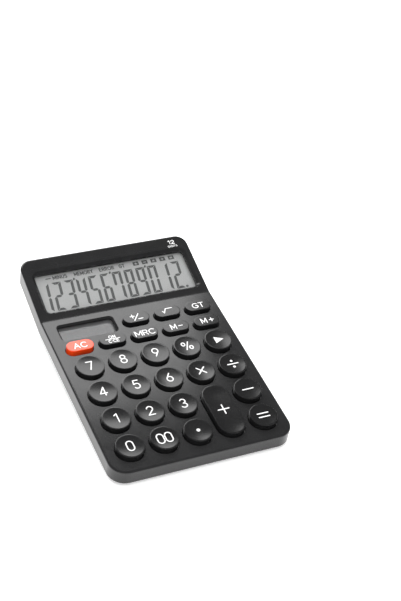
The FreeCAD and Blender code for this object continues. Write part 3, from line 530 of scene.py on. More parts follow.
def loft(
    bm: bmesh.types.BMesh, profile: Iterable[Pair], half_run: Vector, centre: Vector, steps: int
) -> None:
    """Adds a closed form whose level sections are circles, or circles drawn out along a line.

    Args:
        bm: The mesh to add to.
        profile: Pairs of radius and height, from one end on the axis to the other.
        half_run: Half the line along which each circle is drawn out.
        centre: Where the axis stands.
        steps: Points round one circle.
    """
    loops = []
    for radius, height in profile:
        loop = []
        for step in range(steps):
            angle = math.tau * (step + 0.5) / steps
            out = Vector((math.cos(angle), math.sin(angle), 0.0))
            side = math.copysign(1.0, out.dot(half_run)) if half_run.length else 0.0
            spot = centre + out * radius + half_run * side + OUTWARDS * height
            loop.append(bm.verts.new(spot))
        loops.append(loop)
    for low, high in zip(loops, loops[1:]):
        for step in range(steps):
            after = (step + 1) % steps
            bm.faces.new((low[step], low[after], high[after], high[step]))
    bmesh.ops.remove_doubles(bm, verts=[v for loop in loops for v in loop], dist=SAME_SPOT)


# How far the print stands over its face and reaches into it
INK_RISE = 0.03 * MM
INK_SINK = 0.02 * MM
# Corners of print closer than this are one corner
PRINT_STEP = 0.002 * MM
# Blender's number for faces inside the outlines only, and its limit for one corner, in mm
INSIDE_ONLY = 1
CORNER_LIMIT = 1e-4
# A path is closed if its ends are closer than this share of the pen's width
CLOSED_SHARE = 0.01
# Degrees between the points of an arc
ARC_STEP = 15.0


def print_outlines(
    bm: bmesh.types.BMesh, outlines: list[Outline], cuts: Iterable[Outline] = ()
) -> None:
    """Adds flat shapes as one layer, with those that overlap run together.

    Args:
        bm: The mesh to add to.
        outlines: Corners of each shape, at height 0.
        cuts: Corners of each shape that is left out of the others.
    """
    corners, shapes = [], []
    for outline in [*outlines, *cuts]:
        shapes.append(list(range(len(corners), len(corners) + len(outline))))
        corners += [Vector((point.x / MM, point.y / MM)) for point in outline]
    spots, _, faces, _, _, covers = delaunay_2d_cdt(
        corners, [], shapes, INSIDE_ONLY, CORNER_LIMIT
    )
    verts = [bm.verts.new((spot.x * MM, spot.y * MM, 0.0)) for spot in spots]
    for face, cover in zip(faces, covers):
        if cover and max(cover) < len(outlines):
            bm.faces.new([verts[index] for index in face])
    bmesh.ops.delete(bm, geom=[vert for vert in verts if not vert.link_faces], context="VERTS")


def lay_print(bm: bmesh.types.BMesh, cell: float, height: Callable[[Vector], float]) -> None:
    """Turns flat shapes into a thin closed coat that follows a curved face.

    Args:
        bm: Flat faces, drawn at height 0.
        cell: Faces are cut up to about this size.
        height: The face's height at a spot.
    """
    for axis in (Vector((1, 0, 0)), Vector((0, 1, 0))):
        reach = [vertex.co.dot(axis) for vertex in bm.verts]
        first = math.floor(min(reach) / cell) + 1
        for index in range(first, math.ceil(max(reach) / cell)):
            everything = [*bm.verts, *bm.edges, *bm.faces]
            bmesh.ops.bisect_plane(
                bm, geom=everything, plane_co=axis * index * cell, plane_no=axis
            )
    bmesh.ops.remove_doubles(bm, verts=bm.verts, dist=PRINT_STEP)
    upper = bmesh.ops.extrude_face_region(bm, geom=list(bm.faces), use_keep_orig=True)
    raised = {item for item in upper["geom"] if isinstance(item, bmesh.types.BMVert)}
    for vertex in bm.verts:
        lift = INK_RISE if vertex in raised else -INK_SINK
        vertex.co.z = height(vertex.co) + lift


def disc(middle: Vector, across: float, steps: int = 20) -> Outline:
    """Gives the outline of a round dot."""
    angles = [math.tau * step / steps for step in range(steps)]
    return [middle + Vector((math.cos(a), math.sin(a), 0.0)) * across / 2 for a in angles]


def pen_line(path: Path, width: float) -> list[Outline]:
    """Draws along a smooth path with a round pen.

    Args:
        path: Points along the pen's way; a way that ends where it starts is closed.
        width: The pen's width.

    Returns:
        Outlines that cover the line.
    """
    is_closed = (path[0] - path[-1]).length < width * CLOSED_SHARE
    points = path[:-1] if is_closed else path
    count = len(points)
    sides = []
    for index, point in enumerate(points):
        before = points[index - 1] if is_closed or index else point
        after = points[(index + 1) % count] if is_closed or index < count - 1 else point
        along = (after - before).normalized()
        aside = Vector((-along.y, along.x, 0.0)) * width / 2
        sides.append((point + aside, point - aside))
    pairs = list(zip(sides, sides[1:])) + ([(sides[-1], sides[0])] if is_closed else [])
    outlines = [[first[0], first[1], second[1], second[0]] for first, second in pairs]
    if not is_closed:
        outlines += [disc(points[0], width), disc(points[-1], width)]
    return outlines


def arc(x: float, y: float, wide: float, high: float, start: float, end: float) -> Path:
    """Gives points along part of an ellipse.

    Args:
        x: Where its middle is, across.
        y: Where its middle is, upwards.
        wide: Its half width.
        high: Its half height.
        start: Where it starts, in degrees from X.
        end: Where it ends, in degrees; a lower value turns clockwise.

    Returns:
        The points.
    """
    steps = max(2, round(abs(end - start) / ARC_STEP))
    angles = [math.radians(start + (end - start) * step / steps) for step in range(steps + 1)]
    return [Vector((x + wide * math.cos(a), y + high * math.sin(a), 0.0)) for a in angles]


def oblong(x: float, y: float, wide: float, high: float, corner: float = 0.05 * MM) -> Outline:
    """Gives the outline of an oblong with rounded corners.

    Args:
        x: Where its middle is, across.
        y: Where its middle is, upwards.
        wide: Its width.
        high: Its height.
        corner: The radius of its corners.

    Returns:
        The outline.
    """
    outline = []
    for turn, (across, upwards) in enumerate(((1, 1), (-1, 1), (-1, -1), (1, -1))):
        middle_x, middle_y = x + across * (wide / 2 - corner), y + upwards * (high / 2 - corner)
        outline += arc(middle_x, middle_y, corner, corner, 90.0 * turn, 90.0 * turn + 90.0)
    return outline


def lines(*corners: Pair) -> list[Path]:
    """Gives the straight runs between corners, each as a path of its own."""
    spots = [Vector((x, y, 0.0)) for x, y in corners]
    return [[start, end] for start, end in zip(spots, spots[1:])]


def ring(x: float, y: float, wide: float, high: float) -> Path:
    """Gives a whole ellipse as a closed path."""
    return arc(x, y, wide, high, 0.0, 360.0)


def closed(path: Path) -> Path:
    """Ends a path where it starts."""
    return [*path, path[0]]


# Pen paths of each letter or figure, one unit tall about its middle
GLYPHS: dict[str, list[Path]] = {
    "0": [closed(arc(0, 0.2, 0.29, 0.3, 0, 180) + arc(0, -0.2, 0.29, 0.3, 180, 360))],
    "1": lines((-0.2, 0.34), (0.06, 0.5), (0.06, -0.5)),
    "2": [arc(0, 0.22, 0.28, 0.28, 165, -38)] + lines((0.22, 0.05), (-0.3, -0.5), (0.31, -0.5)),
    "3": [arc(0, 0.26, 0.25, 0.24, 150, -90), arc(0, -0.24, 0.29, 0.26, 90, -150)],
    "4": lines((0.14, -0.5), (0.14, 0.5), (-0.32, -0.24), (0.34, -0.24)),
    "5": lines((0.25, 0.5), (-0.2, 0.5), (-0.25, 0.05)) + [arc(0, -0.19, 0.29, 0.31, 130, -145)],
    "6": [ring(0, -0.2, 0.29, 0.3)] + lines((0.12, 0.5), (-0.26, -0.06)),
    "7": lines((-0.29, 0.5), (0.29, 0.5), (-0.1, -0.5)),
    "8": [ring(0, 0.27, 0.24, 0.23), ring(0, -0.23, 0.29, 0.27)],
    "9": [ring(0, 0.2, 0.29, 0.3)] + lines((-0.12, -0.5), (0.26, 0.06)),
    "%": lines((-0.22, -0.5), (0.22, 0.5))
    + [ring(-0.34, 0.27, 0.17, 0.21), ring(0.34, -0.27, 0.17, 0.21)],
    "A": lines((-0.36, -0.5), (0, 0.5), (0.36, -0.5)) + lines((-0.22, -0.16), (0.22, -0.16)),
    "C": [arc(0.04, 0, 0.42, 0.5, 45, 315)],
    "D": lines((-0.3, -0.5), (-0.3, 0.5))
    + [lines((-0.3, 0.5), (0, 0.5))[0] + arc(0, 0, 0.33, 0.5, 90, -90)[1:]]
    + lines((0, -0.5), (-0.3, -0.5)),
    "E": lines((0.26, 0.5), (-0.26, 0.5), (-0.26, -0.5), (0.26, -0.5))
    + lines((-0.26, 0), (0.2, 0)),
    "G": [arc(0, 0, 0.42, 0.5, 45, 325)] + lines((0.36, -0.28), (0.36, -0.02), (0.06, -0.02)),
    "I": lines((0, -0.5), (0, 0.5)),
    "M": lines((-0.42, -0.5), (-0.42, 0.5), (0, -0.3), (0.42, 0.5), (0.42, -0.5)),
    "N": lines((-0.33, -0.5), (-0.33, 0.5), (0.33, -0.5), (0.33, 0.5)),
    "O": [ring(0, 0, 0.44, 0.5)],
    "R": lines((-0.28, -0.5), (-0.28, 0.5), (0.04, 0.5))
    + [arc(0.04, 0.24, 0.26, 0.26, 90, -90)]
    + lines((0.04, -0.02), (-0.28, -0.02))
    + lines((0.06, -0.02), (0.3, -0.5)),
    "S": [arc(0, 0.25, 0.26, 0.25, 40, 270) + arc(0, -0.25, 0.28, 0.25, 90, -140)[1:]],
    "T": lines((-0.33, 0.5), (0.33, 0.5)) + lines((0, 0.5), (0, -0.5)),
    "U": lines((-0.3, 0.5), (-0.3, -0.2))
    + [arc(0, -0.2, 0.3, 0.3, 180, 360)]
    + lines((0.3, -0.2), (0.3, 0.5)),
    "Y": lines((-0.34, 0.5), (0, 0.02), (0.34, 0.5)) + lines((0, 0.02), (0, -0.5)),
    ".": lines((0, 0.0), (0, 0.02)),
}


class Mark:
    """Something printed, drawn flat about its own middle."""

    def outlines(self) -> list[Outline]:
        """Gives the flat shapes that make up the mark."""
        raise NotImplementedError


@dataclass(frozen=True)
class Stroke(Mark):
    """A straight stroke with round ends."""

    length: float
    width: float
    x: float = 0.0
    y: float = 0.0
    turn: float = 0.0

    def outlines(self) -> list[Outline]:
        """Draws the stroke.

        Returns:
            Its outlines.
        """
        angle = math.radians(self.turn)
        reach = Vector((math.cos(angle), math.sin(angle), 0.0)) * (self.length - self.width) / 2
        middle = Vector((self.x, self.y, 0.0))
        return pen_line([middle - reach, middle + reach], self.width)


@dataclass(frozen=True)
class Dot(Mark):
    """A round dot."""

    across: float
    x: float = 0.0
    y: float = 0.0

    def outlines(self) -> list[Outline]:
        """Gives the dot's outline."""
        return [disc(Vector((self.x, self.y, 0.0)), self.across)]


@dataclass(frozen=True)
class Arrowhead(Mark):
    """A solid triangle that points along X."""

    length: float
    height: float
    back_share: float = 0.4

    def outlines(self) -> list[Outline]:
        """Draws the triangle.

        Returns:
            Its outline.
        """
        back = -self.length * self.back_share
        corners = ((back, -self.height / 2), (back + self.length, 0.0), (back, self.height / 2))
        return [[Vector((*corner, 0.0)) for corner in corners]]


@dataclass(frozen=True)
class Word(Mark):
    """Letters or figures drawn with a round pen and set in a row."""

    text: str
    height: float
    pen: float
    x: float = 0.0
    y: float = 0.0
    width: float = 0.0
    gap: float = 0.55

    def outlines(self) -> list[Outline]:
        """Draws the letters, squeezed to the stated width if there is one.

        Returns:
            Their outlines.
        """
        tall = self.height - self.pen
        spots = [[point for path in GLYPHS[letter] for point in path] for letter in self.text]
        lows = [min(point.x for point in spot) * tall for spot in spots]
        highs = [max(point.x for point in spot) * tall for spot in spots]
        step = self.pen * (1.0 + self.gap)
        total = sum(highs) - sum(lows) + step * (len(self.text) - 1)
        squeeze = (self.width - self.pen) / total if self.width else 1.0
        left = -total / 2
        shapes = []
        for letter, low, high in zip(self.text, lows, highs):
            for path in GLYPHS[letter]:
                way = []
                for point in path:
                    across = (left - low + point.x * tall) * squeeze
                    way.append(Vector((self.x + across, self.y + point.y * tall, 0.0)))
                shapes += pen_line(way, self.pen)
            left += high - low + step
        return shapes


# How the two strokes of a plus and of a times sign are turned, in degrees
UPRIGHT = (0.0, 90.0)
DIAGONAL = (45.0, -45.0)


def crossed(
    turns: Pair, length: float, pen: float, x: float = 0.0, y: float = 0.0
) -> tuple[Stroke, ...]:
    """Gives two strokes that cross in the middle."""
    return tuple(Stroke(length, pen, x, y, turn) for turn in turns)


def drawn(marks: Iterable[Mark]) -> list[Outline]:
    """Gives the outlines of several marks."""
    return [outline for mark in marks for outline in mark.outlines()]


# Heights of the legends' figures, letters and signs, and the pens they are drawn with
FIGURE = 6.0 * MM
NOUGHT = 6.5 * MM
LETTER = 3.9 * MM
SMALL = 2.2 * MM
SIGN = 6.5 * MM
SMALL_SIGN = 2.9 * MM
SIGN_PEN = 0.66 * MM
BOLD = 0.6 * MM
MEDIUM = 0.52 * MM
FINE = 0.4 * MM

LEGENDS: dict[str, tuple[Mark, ...]] = {
    **{f"key_{figure}": (Word(str(figure), FIGURE, BOLD),) for figure in range(1, 10)},
    "key_0": (Word("0", NOUGHT, BOLD),),
    "key_00": (Word("00", NOUGHT, BOLD),),
    "key_point": (Dot(1.9 * MM),),
    "key_percent": (Word("%", FIGURE, BOLD),),
    "key_backspace": (Arrowhead(5.0 * MM, 4.6 * MM),),
    "key_times": crossed(DIAGONAL, SIGN, SIGN_PEN),
    "key_divide": (
        Stroke(SIGN, SIGN_PEN),
        Dot(1.4 * MM, y=2.1 * MM),
        Dot(1.4 * MM, y=-2.1 * MM),
    ),
    "key_minus": (Stroke(SIGN, SIGN_PEN),),
    "key_plus": crossed(UPRIGHT, SIGN, SIGN_PEN),
    "key_equals": (Stroke(SIGN, SIGN_PEN, y=1.2 * MM), Stroke(SIGN, SIGN_PEN, y=-1.2 * MM)),
    "key_all_clear": (Word("AC", LETTER, MEDIUM, width=7.3 * MM),),
    "key_clear": (
        Word("ON", SMALL, FINE, y=1.5 * MM),
        Stroke(8.2 * MM, FINE),
        Word("C.CE", SMALL, FINE, y=-1.5 * MM),
    ),
    "key_memory_recall": (Word("MRC", LETTER, MEDIUM, width=11.3 * MM),),
    "key_memory_subtract": (
        Word("M", LETTER, MEDIUM, x=-1.6 * MM),
        Stroke(2.6 * MM, MEDIUM, x=2.5 * MM),
    ),
    "key_memory_add": (
        Word("M", LETTER, MEDIUM, x=-1.8 * MM),
        *crossed(UPRIGHT, SMALL_SIGN, MEDIUM, x=2.6 * MM),
    ),
    "key_sign": (
        *crossed(UPRIGHT, SMALL_SIGN, MEDIUM, x=-2.0 * MM, y=0.9 * MM),
        Stroke(6.2 * MM, MEDIUM, turn=52.0),
        Stroke(SMALL_SIGN, MEDIUM, x=2.0 * MM, y=-1.5 * MM),
    ),
    "key_root": (
        Stroke(1.6 * MM, MEDIUM, x=-2.5 * MM, turn=-60.0),
        Stroke(4.0 * MM, MEDIUM, x=-1.3 * MM, y=0.5 * MM, turn=62.0),
        Stroke(4.0 * MM, MEDIUM, x=1.4 * MM, y=2.0 * MM),
    ),
    "key_grand_total": (Word("GT", LETTER, MEDIUM, width=6.9 * MM),),
}


class TopForm(Enum):
    """How a key is shaped, seen from above."""

    ROUND = "round"
    OBLONG = "oblong"
    TALL = "tall"


@dataclass
class PanelAxes:
    """The key panel's own axes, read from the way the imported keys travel."""

    travel: Vector

    def out(self) -> Matrix:
        """Turns the panel's axes into the row's."""
        tilt = math.atan2(self.travel.y, -self.travel.z)
        return Matrix.Rotation(tilt, 4, "X")

    def spread(self, node: str) -> tuple[Vector, Vector]:
        """Measures a node along the panel's axes.

        Args:
            node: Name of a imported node.

        Returns:
            Its lowest and highest corners in the panel's axes.
        """
        turn = self.out().inverted()
        points = [turn @ vertex.co for vertex in frame["nodes"][node].data.vertices]
        low = Vector([min(point[axis] for point in points) for axis in range(3)])
        high = Vector([max(point[axis] for point in points) for axis in range(3)])
        return low, high


@dataclass
class Key:
    """One key: a smooth cap with a rounded rim, a lip under the panel, stems and a legend.

    The cap and the legend aren't mirrored, so that the glossy panel shows only the light.
    """

    node: str
    axes: PanelAxes
    finish: Finish
    lip_reach: float = 1.1 * MM
    lip_thick: float = 0.7 * MM
    rim: float = 0.22 * MM
    skin: float = 1.2 * MM
    dish: float = 0.2 * MM
    stem: float = 2.2 * MM
    thin_stem: float = 1.1 * MM
    stem_drop: float = 0.35 * MM
    dome: float = 3.4 * MM
    thin_dome: float = 2.3 * MM
    dome_high: float = 1.55 * MM
    dome_gap: float = 0.05 * MM
    dome_slope: float = 35.0
    dome_kept: float = 0.2
    least_run: float = 0.1 * MM
    legend_cell: float = 1.3 * MM
    rim_steps: int = 6
    dish_steps: int = 12
    cap_steps: int = 72
    stem_steps: int = 32
    dome_steps: int = 48
    low: float = field(init=False)
    top: float = field(init=False)
    middle: Vector = field(init=False)
    radius: float = field(init=False)
    half_run: Vector = field(init=False)
    form: TopForm = field(init=False)

    def __post_init__(self) -> None:
        """Reads the key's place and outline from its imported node."""
        low, high = self.axes.spread(self.node)
        self.low = low.z
        self.top = high.z
        self.middle = Vector(((low.x + high.x) / 2, (low.y + high.y) / 2, 0.0))
        wide = (high.x - low.x) / 2 - self.lip_reach
        deep = (high.y - low.y) / 2 - self.lip_reach
        self.radius = min(wide, deep)
        self.half_run = Vector((wide - self.radius, deep - self.radius, 0.0))
        if self.half_run.length < self.least_run:
            self.half_run = Vector()
        self.form = self.find_form()

    def find_form(self) -> TopForm:
        """Tells a round key from an oblong and a tall one.

        Returns:
            The key's form.
        """
        if not self.half_run.length:
            return TopForm.ROUND
        return TopForm.OBLONG if self.half_run.x > self.half_run.y else TopForm.TALL

    def sink(self, reach: float) -> float:
        """Gives how far the top lies below the rim.

        Args:
            reach: Distance from the key's axis or middle line.

        Returns:
            The drop, which is 0 on a flat key.
        """
        if self.form is TopForm.OBLONG:
            return 0.0
        share = min(1.0, reach / (self.radius - self.rim))
        return self.dish * (1.0 - share * share)

    def reach_at(self, spot: Vector) -> float:
        """Measures how far a spot is from the key's axis or middle line.

        Args:
            spot: A point, from the key's middle.

        Returns:
            The distance, level with the panel.
        """
        near = Vector(spot)
        near.z = 0.0
        run = self.half_run
        if run.length:
            share = near.dot(run) / run.length_squared
            near -= run * max(-1.0, min(1.0, share))
        return near.length

    def profile(self) -> list[Pair]:
        """Lists the cap's section, from the middle of its ceiling to the middle of its top.

        Returns:
            Pairs of radius and height.
        """
        lip = self.low + self.stem_drop
        shelf = lip + self.lip_thick
        ceiling = self.top - self.dish - self.skin
        inside = self.radius - self.skin
        section = [(0.0, ceiling), (inside, ceiling), (inside, lip)]
        section += [(self.radius + self.lip_reach, lip), (self.radius + self.lip_reach, shelf)]
        section += [(self.radius, shelf)]
        for step in range(self.rim_steps + 1):
            angle = math.pi / 2 * step / self.rim_steps
            reach = self.radius - self.rim + self.rim * math.cos(angle)
            section.append((reach, self.top - self.rim + self.rim * math.sin(angle)))
        for step in range(1, self.dish_steps + 1):
            reach = (self.radius - self.rim) * (1.0 - step / self.dish_steps)
            section.append((reach, self.top - self.sink(reach)))
        return section

    def stems(self) -> list[tuple[Vector, float]]:
        """Lists the stems.

        Returns:
            Each stem's place, from the key's middle, and its radius.
        """
        if self.form is TopForm.TALL:
            return [(self.half_run * side, self.stem) for side in (-1.0, 1.0)]
        return [(Vector(), self.stem if self.form is TopForm.ROUND else self.thin_stem)]

    def build(self) -> None:
        """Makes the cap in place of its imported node."""
        bm = bmesh.new()
        loft(bm, self.profile(), self.half_run, self.middle, self.cap_steps)
        ceiling = self.top - self.dish - self.skin / 2
        for spot, radius in self.stems():
            post = [(0.0, self.low), (radius, self.low), (radius, ceiling), (0.0, ceiling)]
            loft(bm, post, Vector(), self.middle + spot, self.stem_steps)
        bm.transform(self.axes.out())
        cap = new_piece(f"cap_{self.node}", bm, self.finish, self.node, mirrored=False)
        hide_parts(self.node)

    def dome_foot(self) -> float:
        """Gives the height at which the key's dome stands on the mat."""
        return self.low - self.dome_gap - self.dome_high

    def cushion(self) -> None:
        """Makes the silicone dome under each stem."""
        foot = self.dome_foot()
        crown = foot + self.dome_high
        radius = self.thin_dome if self.form is TopForm.OBLONG else self.dome
        narrow = radius - self.dome_high * math.tan(math.radians(self.dome_slope))
        section = [(0.0, foot), (radius, foot), (narrow, crown), (0.0, crown)]
        bm = bmesh.new()
        for spot, _ in self.stems():
            loft(bm, section, Vector(), self.middle + spot, self.dome_steps)
        out = self.axes.out()
        bm.transform(out)
        finish = FINISHES["mat_silicone"]
        dome = new_piece(f"dome_{self.node}", bm, finish, HOUSING)
        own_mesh(dome)

    def letter(self, marks: Iterable[Mark]) -> None:
        """Prints the legend on the cap.

        Args:
            marks: What the legend is made of.
        """
        bm = bmesh.new()
        print_outlines(bm, drawn(marks))
        lay_print(bm, self.legend_cell, lambda spot: -self.sink(self.reach_at(spot)))
        bm.transform(self.axes.out() @ Matrix.Translation(self.middle + OUTWARDS * self.top))
        new_piece(f"legend_{self.node}", bm, LEGEND_INK, self.node, mirrored=False)


@dataclass
class Keyboard:
    """The twenty-seven keys and the mat under them."""

    axes: PanelAxes
    orange: str = "key_all_clear"
    mat: str = "key_mat"
    dome_stub: float = 0.01 * MM

    def build(self) -> None:
        """Makes every cap, prints its legend and sets the mat's dome under it."""
        keys = []
        for node, marks in LEGENDS.items():
            finish = FINISHES["key_orange" if node == self.orange else "key_black"]
            key = Key(node, self.axes, finish)
            key.build()
            key.letter(marks)
            key.cushion()
            keys.append(key)
        self.sheet(keys[-1].dome_foot())

    def sheet(self, height: float) -> None:
        """Makes the mat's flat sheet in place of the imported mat, with its domes cut off.

        Args:
            height: Where the domes stand on the sheet.
        """
        bm = bmesh.new()
        bm.from_mesh(frame["nodes"][self.mat].data)
        bmesh.ops.remove_doubles(bm, verts=bm.verts, dist=SAME_SPOT)
        out = self.axes.out()
        bm.transform(out.inverted())
        everything = [*bm.verts, *bm.edges, *bm.faces]
        level = OUTWARDS * (height + self.dome_stub)
        bmesh.ops.bisect_plane(
            bm, geom=everything, plane_co=level, plane_no=OUTWARDS, clear_outer=True
        )
        bmesh.ops.holes_fill(bm, edges=[edge for edge in bm.edges if edge.is_boundary])
        bm.transform(out)
        finish = FINISHES["mat_silicone"]
        sheet = new_piece("mat_sheet", bm, finish, HOUSING)
        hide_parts(self.mat)


class Bar(Enum):
    """The seven bars of a figure: two ends, in half widths and quarter heights, and the way out."""

    TOP = ((-1, 2), (1, 2), (0, 1))
    UPPER_LEFT = ((-1, 2), (-1, 0), (-1, 0))
    UPPER_RIGHT = ((1, 2), (1, 0), (1, 0))
    MIDDLE = ((-1, 0), (1, 0), (0, 1))
    LOWER_LEFT = ((-1, 0), (-1, -2), (-1, 0))
    LOWER_RIGHT = ((1, 0), (1, -2), (1, 0))
    BOTTOM = ((-1, -2), (1, -2), (0, -1))


FIGURE_BARS: dict[str, str] = {
    "0": "TOP UPPER_LEFT UPPER_RIGHT LOWER_LEFT LOWER_RIGHT BOTTOM",
    "1": "UPPER_RIGHT LOWER_RIGHT",
    "2": "TOP UPPER_RIGHT MIDDLE LOWER_LEFT BOTTOM",
    "3": "TOP UPPER_RIGHT MIDDLE LOWER_RIGHT BOTTOM",
    "4": "UPPER_LEFT UPPER_RIGHT MIDDLE LOWER_RIGHT",
    "5": "TOP UPPER_LEFT MIDDLE LOWER_RIGHT BOTTOM",
    "6": "TOP UPPER_LEFT MIDDLE LOWER_LEFT LOWER_RIGHT BOTTOM",
    "7": "TOP UPPER_LEFT UPPER_RIGHT LOWER_RIGHT",
    "8": "TOP UPPER_LEFT UPPER_RIGHT MIDDLE LOWER_LEFT LOWER_RIGHT BOTTOM",
    "9": "TOP UPPER_LEFT UPPER_RIGHT MIDDLE LOWER_RIGHT BOTTOM",
}
# The display's small words, each with its middle and its width
DISPLAY_WORDS: tuple[tuple[str, float, float], ...] = (
    ("MINUS", -28.3 * MM, 8.3 * MM),
    ("MEMORY", -14.7 * MM, 11.0 * MM),
    ("ERROR", -1.25 * MM, 8.8 * MM),
    ("GT", 7.8 * MM, 3.5 * MM),
)


class SignBox(Enum):
    """The small sign boxes at the display's upper right, in order."""

    ADD = "add"
    SUBTRACT = "subtract"
    MULTIPLY = "multiply"
    DIVIDE = "divide"
    EQUAL = "equal"


@dataclass
class Readout:
    """What the display shows: a row of figures, with small words and boxes above it."""

    glass: str = "lcd_panel"
    shown: str = "123456789012"
    first: float = -39.6 * MM
    pitch: float = 6.97 * MM
    figure_wide: float = 5.2 * MM
    figure_high: float = 18.45 * MM
    bar_wide: float = 1.55 * MM
    bar_gap: float = 0.14 * MM
    row_middle: float = -2.2 * MM
    slant: float = 6.0
    tick_group: int = 3
    tick_long: float = 1.7 * MM
    tick_share: float = 0.7
    tick_turn: float = 70.0
    word_row: float = 10.0 * MM
    word_high: float = 2.6 * MM
    word_pen: float = 0.5 * MM
    dash_x: float = -35.0 * MM
    dash_long: float = 3.2 * MM
    dash_share: float = 1.3
    box_first: float = 16.2 * MM
    box_pitch: float = 5.33 * MM
    box_wide: float = 3.4 * MM
    sign_share: float = 0.62
    sign_step: float = 0.24
    glass_wide: float = 90.8 * MM
    glass_high: float = 27.6 * MM
    glass_depth: float = 3.9 * MM
    glass_slack: float = 0.01 * MM
    # Edges of the open field inside the painted shade border
    facing_up: float = 0.5
    field_left: float = -43.2 * MM
    field_right: float = 44.6 * MM
    field_low: float = -13.4 * MM
    field_top: float = 12.4 * MM
    field_corner: float = 2.2 * MM
    mark_x: float = 39.7 * MM
    mark_row: float = 17.55 * MM
    mark_high: float = 2.7 * MM
    mark_wide: float = 3.9 * MM
    mark_pen: float = 0.42 * MM
    mark_step: float = 2.75 * MM
    unit_high: float = 1.3 * MM
    unit_wide: float = 5.5 * MM
    unit_pen: float = 0.2 * MM
    print_cell: float = 30.0 * MM

    def plane(self) -> Matrix:
        """Finds the display glass's outer face.

        Returns:
            Axes at the face's middle, with X across, Y up the display and Z outwards.
        """
        mesh = frame["nodes"][self.glass].data
        upper = [face for face in mesh.polygons if face.normal.z > self.facing_up]
        face = max(upper, key=lambda face: face.area)
        out = face.normal.copy()
        across = Vector((1.0, 0.0, 0.0))
        upwards = out.cross(across)
        level = face.center.dot(out)
        rim = [v.co for v in mesh.vertices if abs(v.co.dot(out) - level) < self.glass_slack]
        heights = [spot.dot(upwards) for spot in rim]
        middle = upwards * (min(heights) + max(heights)) / 2 + out * level
        return Matrix.Translation(middle) @ Matrix((across, upwards, out)).transposed().to_4x4()

    def bar(self, bar: Bar, x: float) -> Outline:
        """Draws one bar, mitred at the figure's corners and pointed at its waist.

        Args:
            bar: Which bar it is.
            x: Where the figure's middle is.

        Returns:
            The bar's outline.
        """
        half = (self.figure_wide - self.bar_wide) / 2
        quarter = (self.figure_high - self.bar_wide) / 4
        *ends, outward = bar.value
        spots = [Vector((x + half * across, quarter * level, 0.0)) for across, level in ends]
        along = (spots[1] - spots[0]).normalized()
        aside = Vector((*outward, 0.0)) * self.bar_wide / 2
        outline = []
        for spot, (_, level), inward in zip(spots, ends, (along, -along)):
            step = inward * self.bar_wide / 2
            tip = spot + inward * self.bar_gap
            points = [tip - step + aside] if level else [tip + step + aside, tip]
            points.append(tip + step - aside)
            outline += points if inward is along else points[::-1]
        return outline

    def figures(self) -> list[Outline]:
        """Draws the row of figures, with its ticks and its point, leaning to the right.

        Returns:
            The outlines.
        """
        top = self.figure_high / 2
        last = len(self.shown) - 1
        shapes = []
        for index, text in enumerate(self.shown):
            x = self.first + index * self.pitch
            shapes += [self.bar(Bar[name], x) for name in FIGURE_BARS[text].split()]
            beside = x + self.pitch / 2
            if index == last:
                shapes += Dot(self.bar_wide, beside, self.bar_wide / 2 - top).outlines()
            elif (index + 1) % self.tick_group == 0:
                pen = self.bar_wide * self.tick_share
                shapes += Stroke(self.tick_long, pen, beside, top, self.tick_turn).outlines()
        lean = math.tan(math.radians(self.slant))
        return [
            [Vector((spot.x + lean * spot.y, spot.y + self.row_middle, 0.0)) for spot in shape]
            for shape in shapes
        ]

    def box_sign(self, sign: SignBox, x: float) -> list[Outline]:
        """Draws the sign that is left open in a small box.

        Args:
            sign: Which sign it is.
            x: Where its middle is.

        Returns:
            The outlines.
        """
        y, pen = self.word_row, self.word_pen
        long, step = self.word_high * self.sign_share, self.word_high * self.sign_step
        level = Stroke(long, pen, x, y)
        marks = {
            SignBox.ADD: crossed(UPRIGHT, long, pen, x, y),
            SignBox.SUBTRACT: (level,),
            SignBox.MULTIPLY: crossed(DIAGONAL, long, pen, x, y),
            SignBox.DIVIDE: (level, Dot(pen, x, y + step), Dot(pen, x, y - step)),
            SignBox.EQUAL: (Stroke(long, pen, x, y + step / 2), Stroke(long, pen, x, y - step / 2)),
        }
        return drawn(marks[sign])

    def boxes(self) -> tuple[list[Outline], list[Outline]]:
        """Draws the small solid boxes.

        Returns:
            The boxes' outlines, and those of the signs left open in them.
        """
        places = [(sign, self.box_first + i * self.box_pitch) for i, sign in enumerate(SignBox)]
        solid = [oblong(x, self.word_row, self.box_wide, self.word_high) for _, x in places]
        return solid, [outline for sign, x in places for outline in self.box_sign(sign, x)]

    def border(self) -> tuple[list[Outline], list[Outline]]:
        """Draws the black border round the display, which is painted shade along the recess edge round the field
        it leaves open.

        Returns:
            The border's outer outline, and that of the field it leaves open.
        """
        sheet = oblong(0.0, 0.0, self.glass_wide, self.glass_high)
        wide, high = self.field_right - self.field_left, self.field_top - self.field_low
        x, y = (self.field_right + self.field_left) / 2, (self.field_top + self.field_low) / 2
        return [sheet], [oblong(x, y, wide, high, self.field_corner)]

    def words(self) -> list[Outline]:
        """Draws the row of small words, with the dash at its left.

        Returns:
            The outlines.
        """
        y, pen = self.word_row, self.word_pen
        dash = Stroke(self.dash_long, pen * self.dash_share, self.dash_x, y)
        words = [Word(text, self.word_high, pen, x, y, width) for text, x, width in DISPLAY_WORDS]
        return drawn([dash, *words])

    def mark(self) -> list[Outline]:
        """Draws the small white mark on the case, over the display's right end.

        Returns:
            The outlines.
        """
        x, y, below = self.mark_x, self.mark_row, self.mark_row - self.mark_step
        count = Word("12", self.mark_high, self.mark_pen, x, y, self.mark_wide)
        unit = Word("DIGITS", self.unit_high, self.unit_pen, x, below, self.unit_wide)
        return drawn([count, unit])

